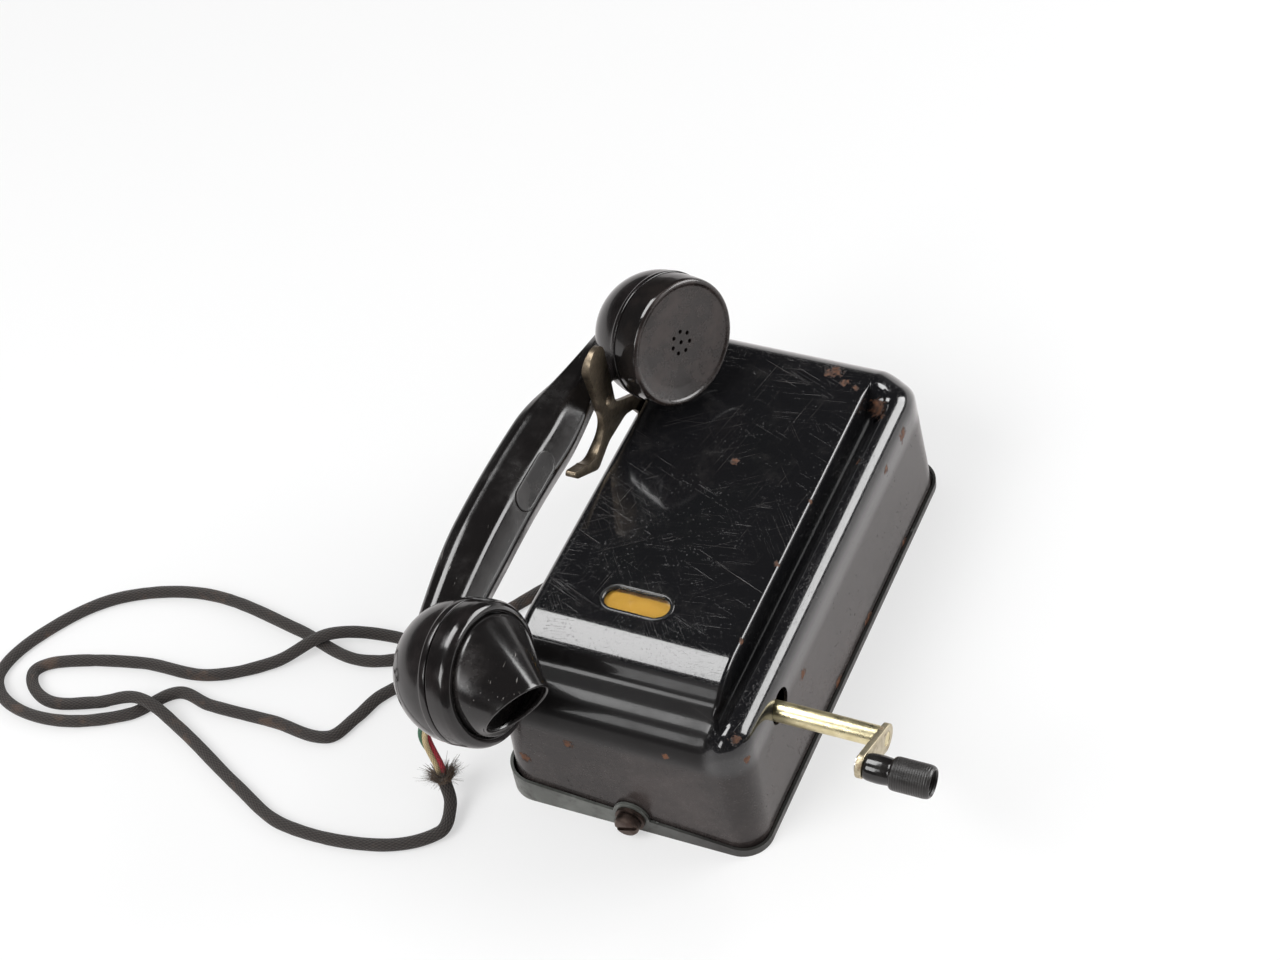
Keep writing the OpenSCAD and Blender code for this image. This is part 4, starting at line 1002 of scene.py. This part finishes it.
def makeCrankArm(looks):
    # the outline is two arcs joined by the lines that touch both
    a, b = np.array(crank["shaft"][1:]), np.array(crank["knob"][1:])
    away = b - a
    big, small = crank["armRadii"]
    heading = math.atan2(away[1], away[0])
    tip = math.acos((big - small) / np.hypot(*away))
    outline = []
    for centre, radius, start, stop in ((a, big, heading + tip, heading + 2 * math.pi - tip),
                                        (b, small, heading - tip, heading + tip)):
        turn = np.linspace(start, stop, 40)
        y, z = centre[0] + radius * np.cos(turn), centre[1] + radius * np.sin(turn)
        outline.append(np.stack([turn * 0, y, z], -1))
    arm = prism("crankArm", np.concatenate(outline), (crank["armLow"], 0, 0), (crank["armHigh"], 0, 0))
    carve(arm, [prism("armEye", disc(radius, yWay, zWay, (0, *centre)), (105, 0, 0), (120, 0, 0))
                for radius, centre in zip(crank["eyes"], (a, b))])
    softEdges(arm, crank["edge"])
    finish(arm, "crank", ["crank_arm"], looks["tanSteel"], 40)


def makeCrankShaft(looks):
    # a turned profile: journal, shoulder, shaft and the riveted end
    profile = rounded([(0, 16.5), (3.5, 16.5), (3.5, 37.2), (4.9, 37.2), (4.9, 110.5), (3.2, 110.55), (3.2, 113.4),
                       (0, 113.4)], 0.4, 4)
    shaft = revolve("crankShaft", profile, axes(crank["shaft"], alongX), 72)
    finish(shaft, "crank", ["crank_shaft"], looks["passivated_steel"], 35)


def makeCrankKnob(looks):
    # a turned profile: a waisted neck, then the grip, hollow at its end
    l, r, bore = crank["knobLong"], crank["knobRadius"], crank["bore"]
    n = 0.38 * l  # where the grip begins
    bulb = [(bore, 0), (5.0, 0), (5.7, 0.35), (6.1, 1.6), (6.3, 3.6), (6.4, 6.0), (6.35, 8.2), (6.2, 10.0),
            (6.1, 11.0), (6.1, n - 0.1), (6.2, n + 0.15), (6.8, n + 0.35), (7.3, n + 0.9), (r, n + 2.2),
            (r, l - 3.4), (r - 0.25, l - 1.7), (r - 0.8, l - 0.7), (r - 1.4, l - 0.3), (r - 1.9, l - 0.7),
            (r - 2.05, l - 1.5), (r - 2.1, l - 9), (bore, l - 9), (bore, 0)]
    knob = revolve("crankKnob", rounded(bulb, 0.5), axes(crank["knob"], alongX))
    finish(knob, "knob", ["crank_knob"], looks["knobBlack"], 42)


# the handset: two round ends, a handle with eight flats, a cap, a ring, a horn and a blank plaque
handset = {"at": (-35.1, 62.84, 123.47), "turn": (5.62, -15.67, -4.54), "earTilt": -15.2, "apart": 195.3,
           "cups": (("receiverCup", 31.0, 16), ("transmitterCup", 32.5, 17)), "capRadius": 31.0, "ringRadius": 33.0}
handle = {"slim": (9.0, 11.0, 4.6), "slimCut": (6.5, 7.5), "grip": (16.8, 13.2, 9.4), "gripTurn": 78.0,
          "gripUp": 2.2, "thin": 0.2, "x": -47.0, "sag": 8.1, "half": 86.5, "middle": -98.5,
          "start": -12, "long": 173, "past": 0.03, "fill": (-0.15, 0.33), "thinFrom": (0.66, 1.05),
          "round": (1.0, 1.6)}
sound = {"holes": 7, "circle": 5.4, "radius": 1.05, "steps": 28}
voice = {"holes": 6, "circle": 7, "radius": 1.5, "steps": 24}
horn = {"lip": (6.7, -11.6, 14.0), "lipTurn": 45.7, "lipAxis": (0.685, 0.729, 0.0), "base": 26.9, "lipRadius": 17.0,
        "lipRound": 0.8, "inside": (15.3, 23.6), "grooves": 4.5, "grooveDeep": 0.34}
plaque = {"long": 33, "high": 12.5, "at": (-33.95, -92, 5.0), "across": (-0.21, 0, 0.98), "up": (0.98, 0, 0.21),
          "edge": ((-0.1, -0.3), (0, 0.1), (0, 0.28), (-0.12, 0.42), (-0.35, 0.5), (-0.9, 0.5), (-1.3, 0.42),
                   (-1.6, 0.4), (-5.8, 0.4))}
held = turned(*handset["turn"])


def headFrame(which):
    # the turned end's own axes: z along its face's normal
    tilt = turned(0, 0, handset["earTilt"]) if which == "ear" else np.eye(3)
    three = held @ tilt @ turned(0, 90, 0)
    spot = (0, 0, 0) if which == "ear" else (0, -handset["apart"], 0)
    return (np.array(handset["at"]) + held @ np.array(spot, float), three[:, 0], three[:, 1], three[:, 2])


def onHandset(points):
    # from the handset's own frame to the telephone's
    return np.array(handset["at"]) + points @ held.T


def faceHoles(name, place, size, spots, low, high):
    # round cutters square to an end's face, at spots on it
    three = np.stack(place[1:], 1)
    centres = [place[0] + three @ np.array([*spot, 0]) for spot in spots]
    return [prism(name, disc(size["radius"], place[1], place[2], centre, size["steps"]), low * place[3],
                  high * place[3]) for centre in centres]


def spotsRound(size):
    # places evenly round a circle
    turns = [k * 2 * math.pi / size["holes"] for k in range(size["holes"])]
    return [(size["circle"] * math.cos(turn), size["circle"] * math.sin(turn)) for turn in turns]


def cupProfile(r, back):
    # a sphere behind a short collar that stands 0.4 mm proud, closed flat inside
    turn = np.linspace(-np.pi / 2, -0.03, 34)
    ball = np.stack([r * np.cos(turn), -back + r * np.sin(turn)], -1)
    rest = [(r + 0.12, -back - 0.35), (r + 0.34, -back - 0.1), (r + 0.4, -back + 0.2), (r + 0.4, -14.35),
            (r + 0.3, -14.08), (r - 0.1, -14.0), (r - 2.4, -14.0), (r - 2.6, -17), (0, -17)]
    return np.concatenate([ball, rest])


def octagon(a, b, c, first=None):
    # a box of half sides a and b whose corners are cut by c, the first by its own two lengths
    side, up = first or (c, c)
    return np.array([(-a, -b + up), (-a + side, -b), (a - c, -b), (a, -b + c), (a, b - c), (a - c, b), (-a + c, b),
                     (-a, b - c)])


def makeHandle(looks):
    # a section that grows from slim to full along an arc, and thins again at the transmitter's end
    slim = octagon(*handle["slim"], handle["slimCut"])
    full = octagon(*handle["grip"]) @ turned(0, 0, -handle["gripTurn"])[:2, :2] + (0, handle["gripUp"])
    t = np.linspace(-handle["past"], 1 + handle["past"], 120)
    share, size = ease(*handle["fill"], t), 1 - handle["thin"] * ease(*handle["thinFrom"], t)
    round0, round1 = handle["round"]
    section = np.stack([loop(slim + (full * s - slim) * k, round0 + round1 * k, 9) for k, s in zip(share, size)])
    sag, middle = handle["sag"], handle["middle"]
    arc = (handle["half"] ** 2 + sag ** 2) / (2 * sag)
    turn = np.arcsin((handle["start"] - handle["long"] * t - middle) / arc)[:, None]
    radial = arc + section[..., 0]
    bar = np.stack([handle["x"] + arc - radial * np.cos(turn), middle + radial * np.sin(turn), section[..., 1]], -1)
    finish(ringNet("handle", onHandset(bar)), "handset", ["handset_body"], looks["handleBlack"], 28)


def makeCap(looks, ear):
    # a turned profile with a dished face, and sound holes in a ring about one in the middle
    r = handset["capRadius"]
    skin = rounded([(0, -1.9), (12, -1.75), (22, -1.35), (27.6, -0.75), (28.6, -0.1), (29.6, 0), (30.6, -0.7),
                    (r, -2.2), (r + 0.15, -8), (r, -13.6), (r - 0.3, -13.9), (r - 2.4, -13.9), (r - 2.4, -4.6),
                    (0, -4.6)], 0.8, 6)
    cap = revolve("receiverCap", np.concatenate([skin[-1:], skin]), ear, 160)
    carve(cap, faceHoles("soundHole", ear, sound, spotsRound(sound) + [(0, 0)], -7, 3))
    finish(cap, "handset", ["receiver_cap"], looks["receiverBlack"], 35)


def makeRing(looks, mouth):
    # a turned profile that holds the horn's foot
    r = handset["ringRadius"]
    section = rounded([(r - 1.5, -13.7), (r - 0.1, -13.4), (r, -8.5), (r - 0.3, -5.2), (r - 1.2, -3.2),
                       (r - 2.8, -2.05), (r - 4.2, -1.9), (27.6, -2.3), (27.2, -3.7), (r - 3, -3.8), (r - 3, -13.7),
                       (r - 1.5, -13.7)], 0.8, 6)
    ring = revolve("transmitterRing", section, mouth, 144)
    finish(ring, "handset", ["transmitter_ring"], looks["black_plastic"], 40)


def makePlaque(looks):
    # a slot's outline carried over a rounded edge, with a shallow groove inside it
    rows = np.stack([stadium(plaque["long"], plaque["high"], out) + (0, 0, z) for out, z in plaque["edge"]])
    rows = (np.array(plaque["at"]) + rows[..., :1] * np.array(yWay) + rows[..., 1:2] * np.array(plaque["across"])
            + rows[..., 2:] * np.array(plaque["up"]))
    blank = ringNet("plaque", onHandset(rows))
    finish(blank, "handset", ["handset_plaque"], looks["plaqueBlack"], 40)


def makeHorn(looks, mouth):
    # straight lines from a base circle to a smaller leaning one, over a rounded lip and back inside
    turn = np.linspace(0, 2 * np.pi, 128, endpoint=False)
    flat = np.stack([np.cos(turn), np.sin(turn), turn * 0], -1)
    lean = np.array(Matrix.Rotation(math.radians(horn["lipTurn"]), 3, Vector(horn["lipAxis"])))
    base = lambda r, z: flat * r + (0, 0, z)
    lip = lambda r, h: np.array(horn["lip"]) + (flat * r + (0, 0, h)) @ lean.T
    foot, edge, roll = horn["base"], horn["lipRadius"], horn["lipRound"]
    back = ((0.01, -6.4), (29.5, -6.4), (29.8, -6.2), (29.8, -4.2), (29.4, -4.0), (27.2, -3.9), (26.95, -3.6),
            (foot, -2.0), (foot, -0.6))
    rows = [base(r, z) for r, z in back]
    for s in np.linspace(0.02, 0.96, 30):
        waist = 1 + 0.02 * math.sin(math.pi * s)
        rows.append(base(foot * waist, -0.2) * (1 - s) + lip(edge * waist, -roll) * s)
    for turnUp in np.linspace(0, math.pi, 11):
        rows.append(lip(edge - roll + roll * math.cos(turnUp), -roll + roll * math.sin(turnUp)))
    top, bottom = horn["inside"]
    for s in np.linspace(0.04, 1, 60):  # inside, with fine grooves that fade towards the plate
        groove = horn["grooveDeep"] * math.sin(2 * math.pi * s * horn["grooves"]) * (1 - s) ** 0.4
        rows.append(lip(top - groove, -1.1) * (1 - s) + base(bottom - groove, -1.5) * s)
    rows += [base(r, z) for r, z in ((22.8, -1.75), (22.0, -1.8), (12, -1.8), (0.01, -1.8))]
    cone = ringNet("horn", mouth[0] + np.stack(rows) @ np.stack(mouth[1:], 1).T)
    carve(cone, faceHoles("voiceHole", mouth, voice, spotsRound(voice), -8, 0))
    finish(cone, "handset", ["mouthpiece"], looks["hornBlack"], 40)


def makeHandset(looks):
    ear, mouth = headFrame("ear"), headFrame("mouth")
    for (name, r, back), place in zip(handset["cups"], (ear, mouth)):
        cup = revolve(name, cupProfile(r, back), place, 144)
        finish(cup, "handset", (), looks["black_plastic"], 60)
    makeHandle(looks)
    makeCap(looks, ear)
    makeRing(looks, mouth)
    makeHorn(looks, mouth)
    makePlaque(looks)


looks = makeFinishes()
print("finishes made")
cordRoute = makeCord(looks)
makeConductors(cordRoute, looks)
print("cord made")
makeCover(looks)
makeLabelRim(looks)
makeEndScrew(looks)
print("case made")
makeHook(looks)
makeCrankShaft(looks)
makeCrankArm(looks)
makeCrankKnob(looks)
makeHandset(looks)
print("hook, crank and handset made")
makeFloor()
makeRoom()
makeLamps()
